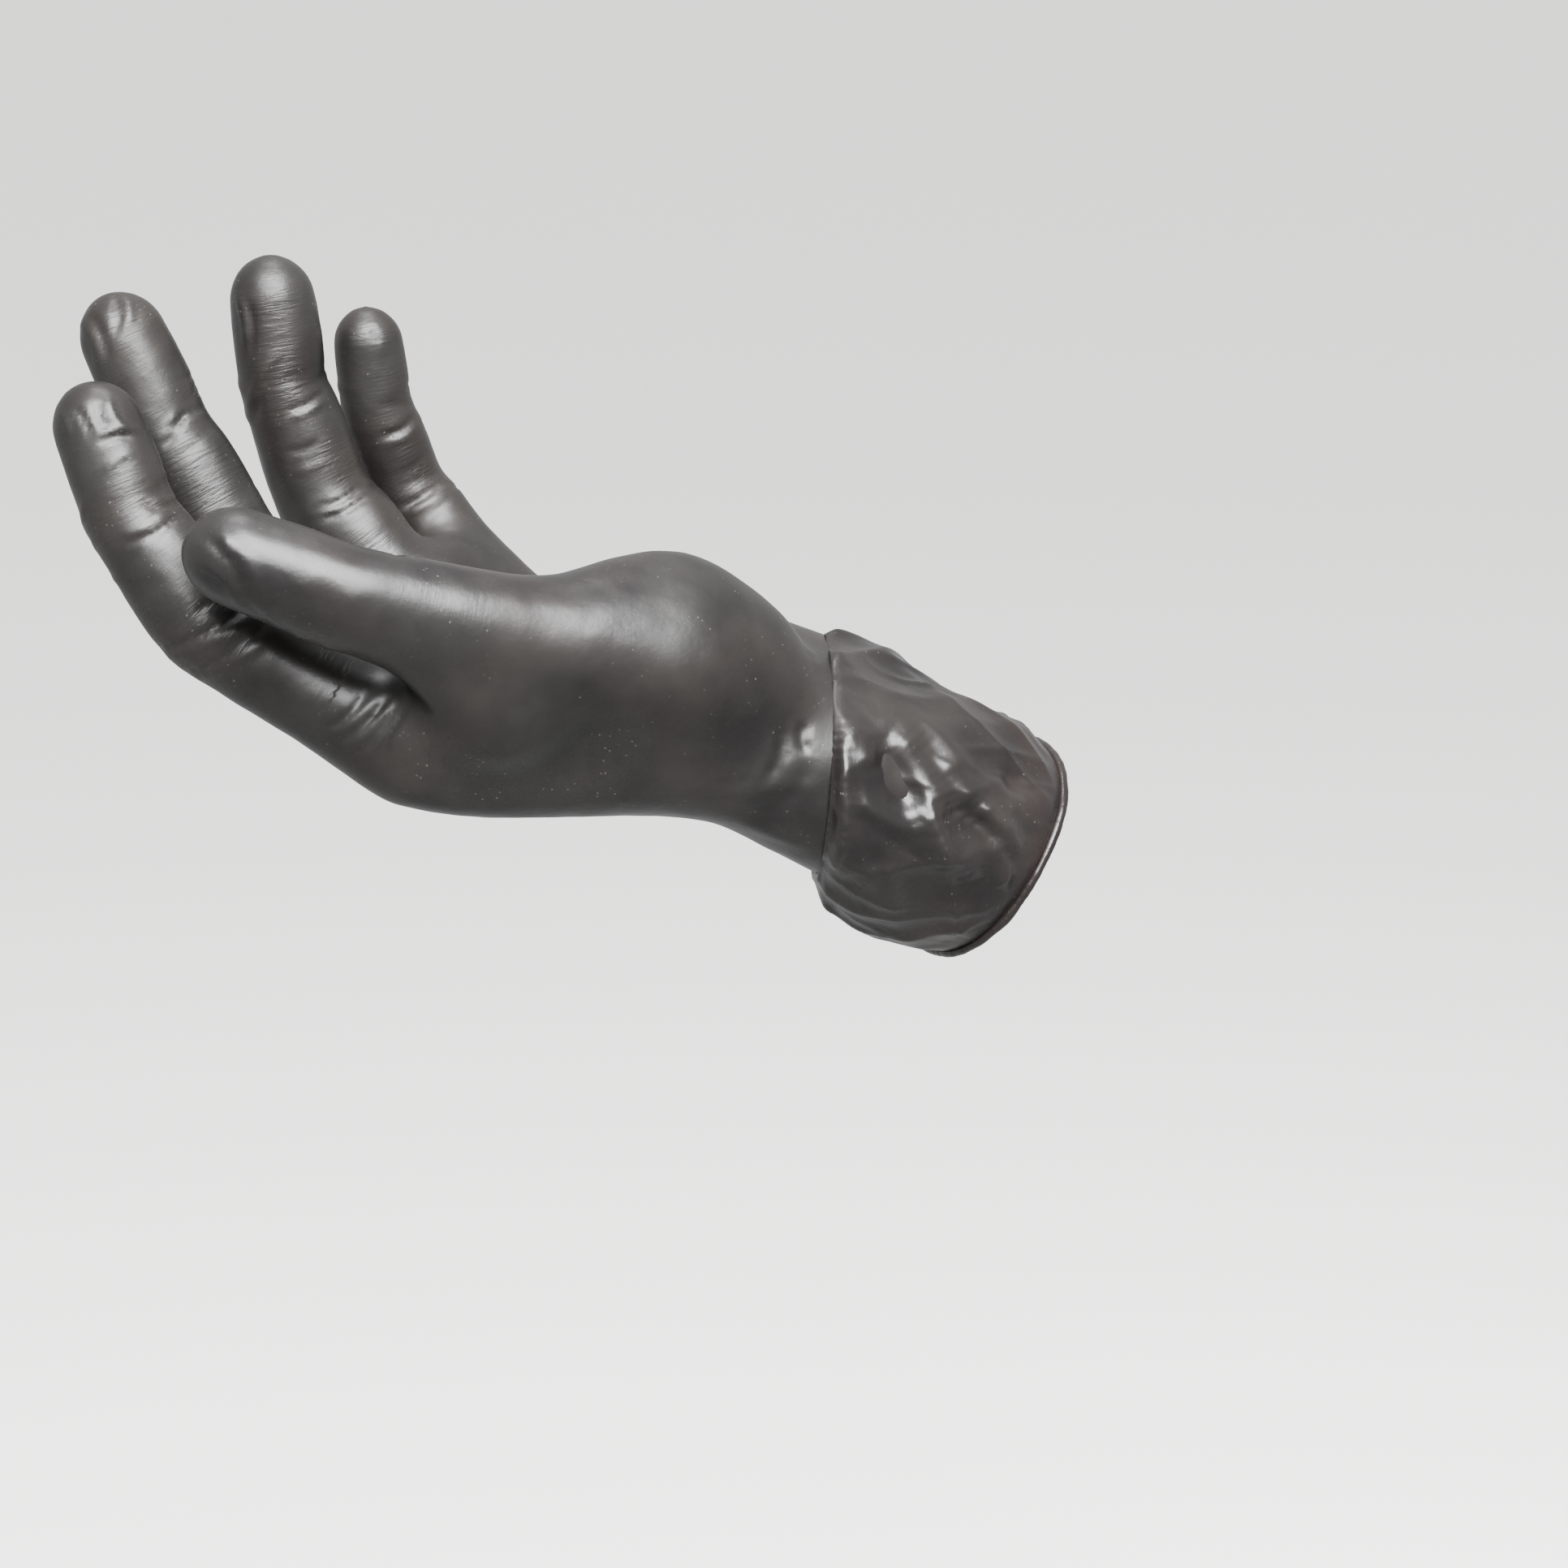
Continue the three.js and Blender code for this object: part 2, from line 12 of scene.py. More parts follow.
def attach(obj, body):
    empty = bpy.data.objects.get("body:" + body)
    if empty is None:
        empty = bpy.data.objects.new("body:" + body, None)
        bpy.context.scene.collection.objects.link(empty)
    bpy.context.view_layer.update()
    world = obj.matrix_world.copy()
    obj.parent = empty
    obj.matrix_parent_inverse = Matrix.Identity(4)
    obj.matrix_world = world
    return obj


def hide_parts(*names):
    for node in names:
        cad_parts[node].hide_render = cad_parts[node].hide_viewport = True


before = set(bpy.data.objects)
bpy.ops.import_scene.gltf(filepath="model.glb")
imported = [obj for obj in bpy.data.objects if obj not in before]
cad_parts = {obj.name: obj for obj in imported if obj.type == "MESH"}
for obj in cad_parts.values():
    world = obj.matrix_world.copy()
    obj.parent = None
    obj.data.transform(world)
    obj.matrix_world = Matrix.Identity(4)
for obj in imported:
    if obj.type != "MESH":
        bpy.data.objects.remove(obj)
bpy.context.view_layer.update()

bl_info = {
    "name": "Nitrile exam glove",
    "version": (1, 0, 0),
    "blender": (4, 5, 0),
    "location": "View3D > Sidebar > Glove",
    "description": "Builds the film, the creased cuff and the rolled bead of a worn nitrile glove",
    "category": "Object",
}

DIGIT_NODES = ("thumb", "index_finger", "middle_finger", "ring_finger", "little_finger")

# Sizes of the glove in millimetres, as in the CAD model.
PALM_LENGTH, PALM_BREADTH, PALM_THICKNESS = 68.0, 84.0, 27.0
WRIST_BREADTH, WRIST_THICKNESS = 60.0, 41.0
CUFF_LENGTH, RIM_BREADTH, RIM_THICKNESS, CUFF_SLACK, CUFF_SAG = 43.0, 54.0, 48.0, 3.5, 2.0

# Palm sections: place along, side and rise of the centre, growth from wrist to palm in breadth and
# thickness, rounding of the end, hollow of the palm, then yaw, roll and pitch in degrees.
PALM = (
    (-0.2, 0.075, -0.13, 0.05, 0.0, 1, 0, -19, 14, 34),
    (0.0, 0.0, 0.0, 0.0, 0.0, 1, 0, -14, 14, 25),
    (0.28, 0.018, 0.105, 0.33, 0.36, 1, 0.02, -4, 14, 8),
    (0.59, 0.02, 0.115, 0.67, 0.64, 1, 0.12, 6, 14, 0),
    (0.84, 0.0, 0.125, 0.95, 0.9, 1, 0.14, 14, 15, 6),
    (1.0, -0.01, 0.19, 1.0, 1.0, 1, 0.1, 18, 17, 18),
    (1.2, 0.0, 0.36, 0.9, 1.2, 0.98, 0.03, 15, 19, 42),
    (1.26, 0.002, 0.42, 0.85, 1.2, 0.6, 0, 15, 19, 44),
)

# Digits: length, breadth, root across, forward and up, roll of the joints, then each bone's share
# of the length, pitch and swing.
DIGITS = {
    "index_finger": (101, 20.5, -0.357, 0.0, 0.0, 10, ((0.48, 32, 0), (0.255, 57, 8), (0.265, 69, 11))),
    "middle_finger": (108, 20.5, -0.134, 0.075, -0.07, 14, ((0.45, 39, 7.5), (0.285, 62, 5), (0.265, 65, 5))),
    "ring_finger": (97, 20, 0.123, 0.075, -0.07, 18, ((0.47, 49, 11.5), (0.25, 73, -3), (0.28, 83, 1))),
    "little_finger": (77, 16.5, 0.357, 0.0, 0.0, 24, ((0.46, 47, 15), (0.24, 71, -11), (0.3, 84, -8))),
    "thumb": (116, 24, 0, 0, 0, -30, ((0.38, 20, -28), (0.33, 15, -14), (0.29, 20.5, -3))),
}

# Half sizes along a digit in shares of its breadth: to the side, the pad's side and the nail's.
FINGER_PROFILE = (
    (-0.08, 0.46, 0.52, 0.4),
    (0.0, 0.54, 0.6, 0.57),
    (0.14, 0.54, 0.58, 0.53),
    (0.27, 0.52, 0.53, 0.49),
    (0.39, 0.51, 0.54, 0.49),
    (0.47, 0.505, 0.46, 0.54),
    (0.53, 0.495, 0.5, 0.49),
    (0.65, 0.475, 0.5, 0.46),
    (0.73, 0.46, 0.42, 0.48),
    (0.78, 0.455, 0.46, 0.45),
    (0.88, 0.44, 0.46, 0.43),
    (1.0, 0.41, 0.42, 0.39),
)
THUMB_PROFILE = (
    (-0.12, 0.4, 0.55, 0.45),
    (-0.05, 0.6, 0.78, 0.55),
    (0.05, 0.72, 0.98, 0.62),
    (0.15, 0.78, 1.04, 0.62),
    (0.28, 0.66, 0.83, 0.56),
    (0.385, 0.55, 0.56, 0.52),
    (0.5, 0.5, 0.48, 0.45),
    (0.62, 0.48, 0.45, 0.43),
    (0.71, 0.485, 0.4, 0.45),
    (0.8, 0.475, 0.43, 0.4),
    (0.92, 0.45, 0.42, 0.36),
    (1.0, 0.42, 0.4, 0.34),
)

# Cuff sections: share of the length, slack, sag, growth towards the rim's size, yaw, roll, pitch.
CUFF = (
    (0.0, 0.7, 0.3, 0.0, -3, 9, 4),
    (0.06, 1.0, 0.6, 0.0, -3, 9, 5),
    (0.25, 1.15, 1.0, 0.1, -8, 8, 11),
    (0.5, 1.0, 1.0, 0.35, -14, 5, 19),
    (0.75, 0.7, 0.6, 0.7, -18, 2, 27),
    (0.92, 0.25, 0.2, 0.95, -20, 1, 32),
    (1.0, 0.0, 0.0, 1.0, -20, 0, 33),
)
CUFF_FOLD = np.array((4.49, 2.52, -3.06))
CUFF_WAY = np.array((0.7796, 0.3544, -0.5163))

# The camera's view: 900 mm from the glove and 12 degrees above it. A crease is placed by where it
# lies in that view, in 1932nds of its width, counted from the upper left.
VIEW_DISTANCE, VIEW_RISE, VIEW_SCALE, VIEW_SIDE = 900.0, math.radians(12), 6.1, 1932
VIEW_MIDDLE = np.array((-3.12, -3.70, -7.78))
VIEW_BACK = np.array((0, -math.cos(VIEW_RISE), math.sin(VIEW_RISE)))
CAMERA_PLACE = VIEW_MIDDLE + VIEW_BACK * VIEW_DISTANCE

# On the loose cuff the creases of the table are this much broader and taller.
CUFF_CREASE_SPREAD, CUFF_CREASE_GAIN = 2.1, 2.1

# Mesh of the cuff: points round it, rows along it, rows in the roll of its fold, and the row
# where it stops lying close to the wrist.
CUFF_COUNT, CUFF_ROWS, ROLL_ROWS, SNUG_END = 360, 96, 10, 22

# Balls between the thumb's ball and the palm's lower edge: middle, then radius, in mm.
EDGE_BALLS = {
    "mound": ((-32.0, -27.0, 18.5), 15.0),
    "side": ((-44.0, -29.0, -1.0), 7.0),
    "heel": ((-17.0, -25.5, -0.5), 7.0),
}

# Corners where the film spans between thumb, palm and wrist: place in palm lengths, breadths and
# lengths, then how far the corner reaches in mm.
CORNERS = (
    (-0.8, -0.42, 0.12, 24.0),
    (-1.13, -0.55, 0.4, 14.0),
    (-0.56, -0.46, 0.0, 27.0),
    (-0.26, -0.4, -0.03, 22.0),
)

# Folds along the cuff: height in mm, turn over its length in radians, how close they lie across and
# along it, and where the noise starts.
CUFF_RIDGES = (
    (2.3, 0.9, 0.055, 0.012, (0.3, 2.1, 5.2)),
    (1.7, -0.8, 0.07, 0.02, (7.3, 1.1, 3.2)),
    (0.9, 0.4, 0.12, 0.045, (2.3, 6.1, 9.2)),
    (0.15, -0.3, 0.26, 0.09, (4.4, 3.3, 1.2)),
)

# The stage: half width, near and far edge and height of the floor in mm.
FLOOR_HALF, FLOOR_NEAR, FLOOR_FAR, FLOOR_HEIGHT = 15000, -3000, 40000, -450

# Softboxes: name, place and width in metres, then power in watts.
SOFTBOXES = (
    ("key softbox", (0.06, -0.6, 0.66), 0.72, 130.0),
    ("top softbox", (-0.1, 0.2, 0.85), 0.3, 6.0),
)

# Strength of the white surround, then strength, width and tilt in degrees of the ceiling's light.
SURROUND_STRENGTH, CEILING_STRENGTH, CEILING_WIDTH, CEILING_TILT = 0.95, 3.5, 50, 35

# Creases that show in the view: part, ends x and y, bow sideways, height in mm (a groove is below
# zero) and half width in mm.
CREASES = (
    ("index_finger", 190, 801, 300, 748, 8, -0.75, 0.8),
    ("index_finger", 200, 812, 312, 757, 8, 0.4, 1.1),
    ("index_finger", 222, 832, 330, 762, 10, -0.6, 0.7),
    ("index_finger", 236, 838, 345, 772, 8, 0.35, 1.0),
    ("index_finger", 244, 762, 262, 744, -6, -0.6, 0.6),
    ("index_finger", 120, 548, 166, 540, -6, -0.5, 0.6),
    ("index_finger", 118, 538, 176, 530, -6, 0.4, 0.7),
    ("index_finger", 128, 585, 166, 558, -6, 0.35, 0.7),
    ("index_finger", 150, 672, 222, 632, 6, -0.5, 0.6),
    ("index_finger", 144, 660, 208, 626, 6, 0.3, 0.9),
    ("index_finger", 120, 492, 134, 530, 6, -0.5, 0.7),
    ("index_finger", 134, 486, 160, 532, 8, 0.5, 0.8),
    ("index_finger", 88, 500, 110, 540, -6, -0.4, 0.7),
    ("index_finger", 70, 504, 84, 540, -4, 0.4, 0.7),
    ("index_finger", 180, 610, 226, 600, 10, 0.35, 0.9),
    ("index_finger", 176, 620, 220, 616, 8, -0.4, 0.6),
    ("palm", 312, 868, 396, 818, 6, -0.5, 0.6),
    ("palm", 322, 874, 404, 824, 6, 0.3, 0.9),
    ("palm", 340, 884, 372, 866, 4, -0.35, 0.6),
    ("palm", 372, 892, 392, 872, 4, 0.35, 0.8),
    ("palm", 402, 900, 452, 848, 6, -0.6, 0.6),
    ("palm", 408, 908, 468, 852, 6, 0.45, 0.7),
    ("palm", 416, 916, 478, 858, 6, -0.55, 0.6),
    ("palm", 424, 926, 486, 862, 4, 0.45, 0.7),
    ("palm", 432, 936, 490, 870, 4, -0.5, 0.6),
    ("palm", 440, 944, 498, 872, 2, 0.4, 0.7),
    ("palm", 462, 950, 502, 868, -4, -0.6, 0.6),
    ("palm", 476, 930, 512, 878, -2, 0.4, 0.7),
    ("palm", 528, 946, 540, 896, -6, -0.4, 0.8),
    ("palm", 546, 954, 556, 902, -6, -0.5, 0.8),
    ("middle_finger", 200, 552, 228, 506, 4, -0.6, 0.6),
    ("middle_finger", 190, 540, 218, 508, 4, 0.35, 0.8),
    ("middle_finger", 205, 532, 252, 502, -4, -0.6, 0.6),
    ("middle_finger", 206, 540, 258, 508, -4, 0.3, 0.9),
    ("middle_finger", 140, 362, 138, 420, -6, -0.5, 0.8),
    ("middle_finger", 152, 366, 156, 400, -6, 0.5, 0.8),
    ("middle_finger", 96, 392, 122, 460, -8, 0.5, 0.9),
    ("middle_finger", 104, 380, 132, 450, -8, -0.45, 0.8),
    ("ring_finger", 292, 360, 302, 430, -4, 0.5, 0.8),
    ("ring_finger", 306, 372, 308, 440, -4, -0.45, 0.8),
    ("ring_finger", 348, 440, 312, 524, 6, -0.4, 0.8),
    ("ring_finger", 340, 436, 304, 516, 6, 0.35, 1.0),
    ("ring_finger", 352, 506, 402, 478, 6, -0.6, 0.6),
    ("ring_finger", 356, 514, 398, 490, 6, 0.3, 0.8),
    ("ring_finger", 352, 556, 394, 544, 4, -0.35, 0.6),
    ("ring_finger", 360, 580, 404, 566, 4, 0.25, 0.7),
    ("ring_finger", 384, 628, 448, 596, 6, -0.6, 0.5),
    ("ring_finger", 390, 634, 450, 604, 6, 0.35, 0.5),
    ("ring_finger", 394, 640, 452, 610, 6, -0.5, 0.5),
    ("little_finger", 470, 536, 512, 508, 8, -0.6, 0.7),
    ("little_finger", 478, 544, 514, 518, 6, 0.35, 0.8),
    ("little_finger", 488, 626, 550, 588, 6, -0.6, 0.7),
    ("little_finger", 494, 634, 556, 596, 6, 0.35, 0.9),
    ("little_finger", 458, 404, 472, 420, 4, -0.3, 0.6),
    ("thumb", 246, 660, 300, 738, -12, -0.5, 1.0),
    ("thumb", 240, 690, 300, 752, -8, 0.45, 1.0),
    ("thumb", 250, 706, 340, 776, -6, -0.45, 0.8),
    ("thumb", 266, 714, 352, 782, -4, 0.35, 0.7),
    ("thumb", 278, 664, 284, 684, 3, 0.4, 0.7),
    ("thumb", 262, 650, 318, 728, -10, 0.35, 1.2),
    ("palm", 948, 896, 928, 970, -8, 0.5, 1.5),
    ("palm", 964, 890, 944, 960, -8, -0.5, 1.2),
    ("palm", 996, 890, 1000, 928, 10, -0.9, 1.2),
    ("palm", 1002, 930, 912, 1004, -22, -0.5, 1.6),
    ("palm", 980, 920, 900, 990, -18, 0.5, 2.0),
    ("palm", 1010, 972, 870, 984, 8, 0.25, 1.4),
    ("palm", 1000, 1040, 890, 1000, -4, 0.3, 1.6),
    ("palm", 1000, 1056, 900, 1016, -4, -0.25, 1.2),
    ("cuff", 1012, 896, 1014, 1040, -4, 0.9, 1.2),
    ("cuff", 1020, 900, 1024, 1036, -4, -1.0, 0.9),
    ("cuff", 1030, 892, 1036, 1044, -6, 0.8, 1.1),
    ("cuff", 1040, 896, 1078, 946, -4, 0.8, 1.2),
    ("cuff", 1044, 984, 1124, 1036, -4, 0.9, 1.2),
    ("cuff", 1040, 996, 1118, 1044, -4, -0.7, 1.2),
    ("cuff", 1096, 900, 1168, 1004, -8, 1.2, 1.2),
    ("cuff", 1086, 904, 1140, 1010, 8, -0.9, 1.6),
    ("cuff", 1112, 904, 1190, 1030, -10, -0.9, 1.4),
    ("cuff", 1118, 980, 1142, 1060, -14, 1.1, 1.6),
    ("cuff", 1142, 1040, 1198, 1086, -14, 1.1, 1.8),
    ("cuff", 1160, 930, 1200, 996, 6, 0.9, 1.6),
    ("cuff", 1196, 984, 1262, 1060, -4, 1.1, 0.9),
    ("cuff", 1188, 1000, 1250, 1074, -6, -0.8, 1.2),
    ("cuff", 1222, 1030, 1232, 1096, -6, 0.8, 1.0),
    ("cuff", 1220, 950, 1262, 1000, 10, 0.8, 1.4),
    ("cuff", 1232, 960, 1290, 976, -6, -0.7, 1.2),
    ("cuff", 1010, 1060, 1044, 1050, -8, 0.7, 1.6),
    ("cuff", 1050, 1080, 1120, 1104, 12, 0.6, 2.2),
)


def curve_at(rows, at):
    """The columns of a table read at `at` on a smooth curve through its rows."""
    rows = np.array(rows, float)
    keys = rows[:, 0]
    at = np.atleast_1d(np.asarray(at, float))
    slopes = np.empty_like(rows)
    slopes[1:-1] = (rows[2:] - rows[:-2]) / (keys[2:] - keys[:-2])[:, None]
    slopes[0] = (rows[1] - rows[0]) / (keys[1] - keys[0])
    slopes[-1] = (rows[-1] - rows[-2]) / (keys[-1] - keys[-2])
    i = np.clip(np.searchsorted(keys, at, side="right") - 1, 0, len(keys) - 2)
    width = keys[i + 1] - keys[i]
    t = np.clip((at - keys[i]) / width, 0, 1)[:, None]
    width = width[:, None]
    return (
        (2 * t**3 - 3 * t**2 + 1) * rows[i]
        + (t**3 - 2 * t**2 + t) * slopes[i] * width
        + (3 * t**2 - 2 * t**3) * rows[i + 1]
        + (t**3 - t**2) * slopes[i + 1] * width
    )


def unit(v):
    """The vector, or each of a row of vectors, at length one."""
    return v / np.maximum(np.linalg.norm(v, axis=-1, keepdims=True), 1e-9)


def palm_place(along, side, rise):
    """A place given in palm lengths, palm breadths and palm lengths."""
    return np.array((along * PALM_LENGTH, side * PALM_BREADTH, rise * PALM_LENGTH))


def section_frame(yaw, roll, pitch):
    """Across and up of a section whose plane is turned by these angles in degrees."""
    y, r, p = (np.radians(np.asarray(a, float)) for a in (yaw, roll, pitch))
    across = np.stack([np.sin(y) * np.cos(r), np.cos(y) * np.cos(r), np.sin(r)], -1)
    up = np.stack([np.sin(p), 0 * p, np.cos(p)], -1)
    up = unit(up - (up * across).sum(-1, keepdims=True) * across)
    return across, up


def digit_path(name):
    """Points each 0.5 mm or so along a digit's centre line, with its axis of bending."""
    length, _, side, forward, rise, roll, bones = DIGITS[name]
    if name == "thumb":
        root = palm_place(-0.19, -0.23, 0.215)
        axis = section_frame(0, roll, 0)[0]
    else:
        across, up = section_frame(18, 16, 0)
        ahead = unit(np.cross(up, across))
        root = palm_place(-0.98, -0.018, 0.178)
        root = root + across * side * PALM_BREADTH + ahead * forward * PALM_LENGTH
        root = root + up * rise * PALM_THICKNESS
        axis = section_frame(18, roll, 0)[0]
    joints = [root]
    for share, pitch, swing in bones:
        p, s = math.radians(pitch), math.radians(swing)
        way = np.array((-math.cos(p) * math.cos(s), math.sin(s), math.sin(p) * math.cos(s)))
        joints.append(joints[-1] + way * share * length)
    a, b, c, d = joints
    ab, ba = b + 0.4 * (a - b), b + 0.4 * (c - b)
    bc, cb = c + 0.4 * (b - c), c + 0.4 * (d - c)
    t = np.linspace(0, 1, 40)[:, None]
    bend_b = (1 - t) ** 2 * ab + 2 * t * (1 - t) * b + t**2 * ba
    bend_c = (1 - t) ** 2 * bc + 2 * t * (1 - t) * c + t**2 * cb
    points = np.concatenate([a + (ab - a) * t, bend_b, ba + (bc - ba) * t, bend_c, cb + (d - cb) * t])
    run = np.concatenate([[0], np.cumsum(np.linalg.norm(np.diff(points, axis=0), axis=1))])
    keep = np.concatenate([[True], np.diff(run) > 1e-6])
    points, run = points[keep], run[keep]
    share = np.linspace(0, 1, 180)
    points = np.stack([np.interp(share * run[-1], run, points[:, k]) for k in range(3)], 1)
    return points, axis


def path_at(path, share):
    """The point of a digit's centre line at this share of its length."""
    return path[int(round(share * (len(path) - 1)))]


def ring_points(centre, across, up, side, above, below, count, fullness=2.0, hollow=0.0):
    """A closed outline with its own half sizes above and below."""
    angle = (np.arange(count) + 0.5) / count * 2 * math.pi
    c, s = np.cos(angle), np.sin(angle)
    power = 2 / fullness
    x = np.sign(c) * np.abs(c) ** power
    y = np.sign(s) * np.abs(s) ** power
    height = y * np.where(s > 0, above, below) - np.where(s > 0, hollow * (1 - x * x) * y, 0)
    return centre + np.outer(x * side, across) + np.outer(height, up)


def sleeve_faces(rows, count):
    """Faces between the rows of points of a sleeve, each row closed round."""
    faces = []
    for r in range(rows - 1):
        for i in range(count):
            a, b = r * count + i, r * count + (i + 1) % count
            faces.append((a, b, b + count, a + count))
    return faces


def loft_mesh(rings):
    """Vertices and faces of a closed body through rings of one count."""
    count = len(rings[0])
    verts = np.concatenate(rings)
    faces = sleeve_faces(len(rings), count)
    faces.append(tuple(reversed(range(count))))
    faces.append(tuple(range(len(verts) - count, len(verts))))
    return verts, faces


def digit_body(name):
    """A digit's body from its root to its round tip."""
    length, breadth = DIGITS[name][:2]
    points, axis = digit_path(name)
    profile = THUMB_PROFILE if name == "thumb" else FINGER_PROFILE
    columns = np.array(profile)
    last = columns[-1, 2] * breadth * 1.05 / length
    places = np.linspace(columns[0, 0], 1 - last, 70)
    tips = 1 - last + last * np.sin(np.radians(np.linspace(6, 86, 14)))
    rings = []
    for at in np.concatenate([places, tips]):
        k = int(round(min(max(at, 0), 1) * (len(points) - 1)))
        tangent = unit(points[min(k + 1, len(points) - 1)] - points[max(k - 1, 0)])
        centre = points[k] + tangent * min(at, 0) * length
        if at >= 0:
            centre = np.array([np.interp(at, np.linspace(0, 1, len(points)), points[:, j]) for j in range(3)])
        up = unit(np.cross(axis, tangent))
        across = np.cross(tangent, up)
        row = curve_at(columns, at)[0] * breadth
        shrink = 1.0
        if at > 1 - last:
            shrink = math.sqrt(max(1 - ((at - 1 + last) / last) ** 2, 0.004))
        rings.append(ring_points(centre, across, up, *(row[1:4] * shrink), 36))
    return loft_mesh(rings)


def palm_rings(places, grow=0.0, count=96):
    """Outlines of the palm and wrist at these shares of the palm's length."""
    rows = curve_at(PALM, places)
    rings = []
    for at, row in zip(np.atleast_1d(places), rows):
        _, side, rise, wide, flat, keep, hollow, yaw, roll, pitch = row
        breadth = (WRIST_BREADTH + (PALM_BREADTH - WRIST_BREADTH) * wide) * keep
        thick = (WRIST_THICKNESS + (PALM_THICKNESS - WRIST_THICKNESS) * flat) * keep
        across, up = section_frame(yaw, roll, pitch)
        centre = palm_place(-at, side, rise)
        half = thick / 2 + grow
        rings.append(
            ring_points(centre, across, up, breadth / 2 + grow, half, half, count, 2.35, hollow * thick)
        )
    return rings


def web_hulls():
    """The web between thumb and index finger, as balls that a skin is stretched over."""
    thumb, _ = digit_path("thumb")
    index, _ = digit_path("index_finger")
    row = curve_at(PALM, 0.7)[0]
    across, _ = section_frame(row[7], row[8], 0)
    inner = palm_place(-0.7, row[1], row[2]) - across * 0.2 * PALM_BREADTH
    balls = {
        "far": (path_at(thumb, 0.782), 9.5),
        "thumb": (path_at(thumb, 0.51), 10.1),
        "under": (palm_place(-1.103, -0.536, 0.397), 6.0),
        "base": (path_at(thumb, 0.3), 12.0),
        "crotch": (palm_place(-0.838, -0.51, 0.14), 6.0),
        "palm": (inner, 12.1),
        "index": (path_at(index, 0.1), 9.2),
    }
    balls.update({name: (np.array(middle), radius) for name, (middle, radius) in EDGE_BALLS.items()})
    hulls = (
        ("far", "thumb", "under"),
        ("thumb", "under", "base", "crotch"),
        ("crotch", "base", "palm", "index"),
        ("mound", "side", "heel"),
    )
    return [[balls[n] for n in names] for names in hulls]


def mesh_object(name, verts, faces, smooth=True):
    """A mesh object from points in millimetres."""
    mesh = bpy.data.meshes.new(name)
    mesh.from_pydata((np.asarray(verts) / 1000).tolist(), [], [tuple(f) for f in faces])
    mesh.update()
    if smooth:
        mesh.polygons.foreach_set("use_smooth", [True] * len(mesh.polygons))
    obj = bpy.data.objects.new(name, mesh)
    bpy.context.collection.objects.link(obj)
    return obj


def baked(obj):
    """The object with its modifiers applied."""
    depsgraph = bpy.context.evaluated_depsgraph_get()
    mesh = bpy.data.meshes.new_from_object(obj.evaluated_get(depsgraph))
    obj.modifiers.clear()
    old = obj.data
    obj.data = mesh
    bpy.data.meshes.remove(old)
    return obj


def points_of(mesh):
    """The mesh's points in mm."""
    co = np.empty(len(mesh.vertices) * 3)
    mesh.vertices.foreach_get("co", co)
    return co.reshape(-1, 3) * 1000


def normals_of(mesh):
    """The outward direction at each point."""
    n = np.empty(len(mesh.vertices) * 3)
    mesh.vertex_normals.foreach_get("vector", n)
    return n.reshape(-1, 3)


def set_points(mesh, points):
    """Move the mesh's points to these places in mm."""
    mesh.vertices.foreach_set("co", (points / 1000).ravel())
    mesh.update()


def relax(mesh, points, weight, rounds):
    """Laplacian smoothing, stronger where weight is higher."""
    edges = np.empty(len(mesh.edges) * 2, int)
    mesh.edges.foreach_get("vertices", edges)
    a, b = edges.reshape(-1, 2).T
    count = np.bincount(a, minlength=len(points)) + np.bincount(b, minlength=len(points))
    for _ in range(rounds):
        mean = np.stack(
            [
                np.bincount(a, points[b, k], len(points)) + np.bincount(b, points[a, k], len(points))
                for k in range(3)
            ],
            1,
        ) / count[:, None]
        points = points + (mean - points) * weight[:, None]
    return points


def in_view(points):
    """Where points lie in the camera's view, in 1932nds of its width."""
    p = points - VIEW_MIDDLE
    c, s = math.cos(VIEW_RISE), math.sin(VIEW_RISE)
    away = p[:, 1] * c - p[:, 2] * s
    rise = p[:, 1] * s + p[:, 2] * c
    k = VIEW_SCALE / (1 + away / VIEW_DISTANCE)
    return np.stack([VIEW_SIDE / 2 + p[:, 0] * k, VIEW_SIDE / 2 - rise * k], 1)


def crease_heights(points, normals, labels):
    """Height of the measured creases at each point whose surface faces the camera."""
    seen = in_view(points)
    facing = (unit(CAMERA_PLACE - points) * normals).sum(1)
    fade = np.clip((facing + 0.05) / 0.25, 0, 1)
    height = np.zeros(len(points))
    for part, x0, y0, x1, y1, bow, tall, wide in CREASES:
        a, b = np.array((x0, y0), float), np.array((x1, y1), float)
        near = np.all((seen > np.minimum(a, b) - 45) & (seen < np.maximum(a, b) + 45), axis=1)
        near &= (labels == part) & (fade > 0)
        pick = np.flatnonzero(near)
        if not len(pick):
            continue
        t = np.linspace(0, 1, 15)[:, None]
        side = np.array((-(b - a)[1], (b - a)[0])) / np.linalg.norm(b - a)
        line = a + (b - a) * t + side * bow * 4 * t * (1 - t)
        gaps = np.linalg.norm(seen[pick][:, None] - line[None], axis=2) / VIEW_SCALE
        t_near = gaps.argmin(1) / 14
        taper = np.clip(np.minimum(t_near, 1 - t_near) * 4 + 0.15, 0, 1)
        broad = wide * (CUFF_CREASE_SPREAD if part == "cuff" else 1.0)
        height[pick] += tall * taper * np.exp(-((gaps.min(1) / broad) ** 2)) * fade[pick]
    return height


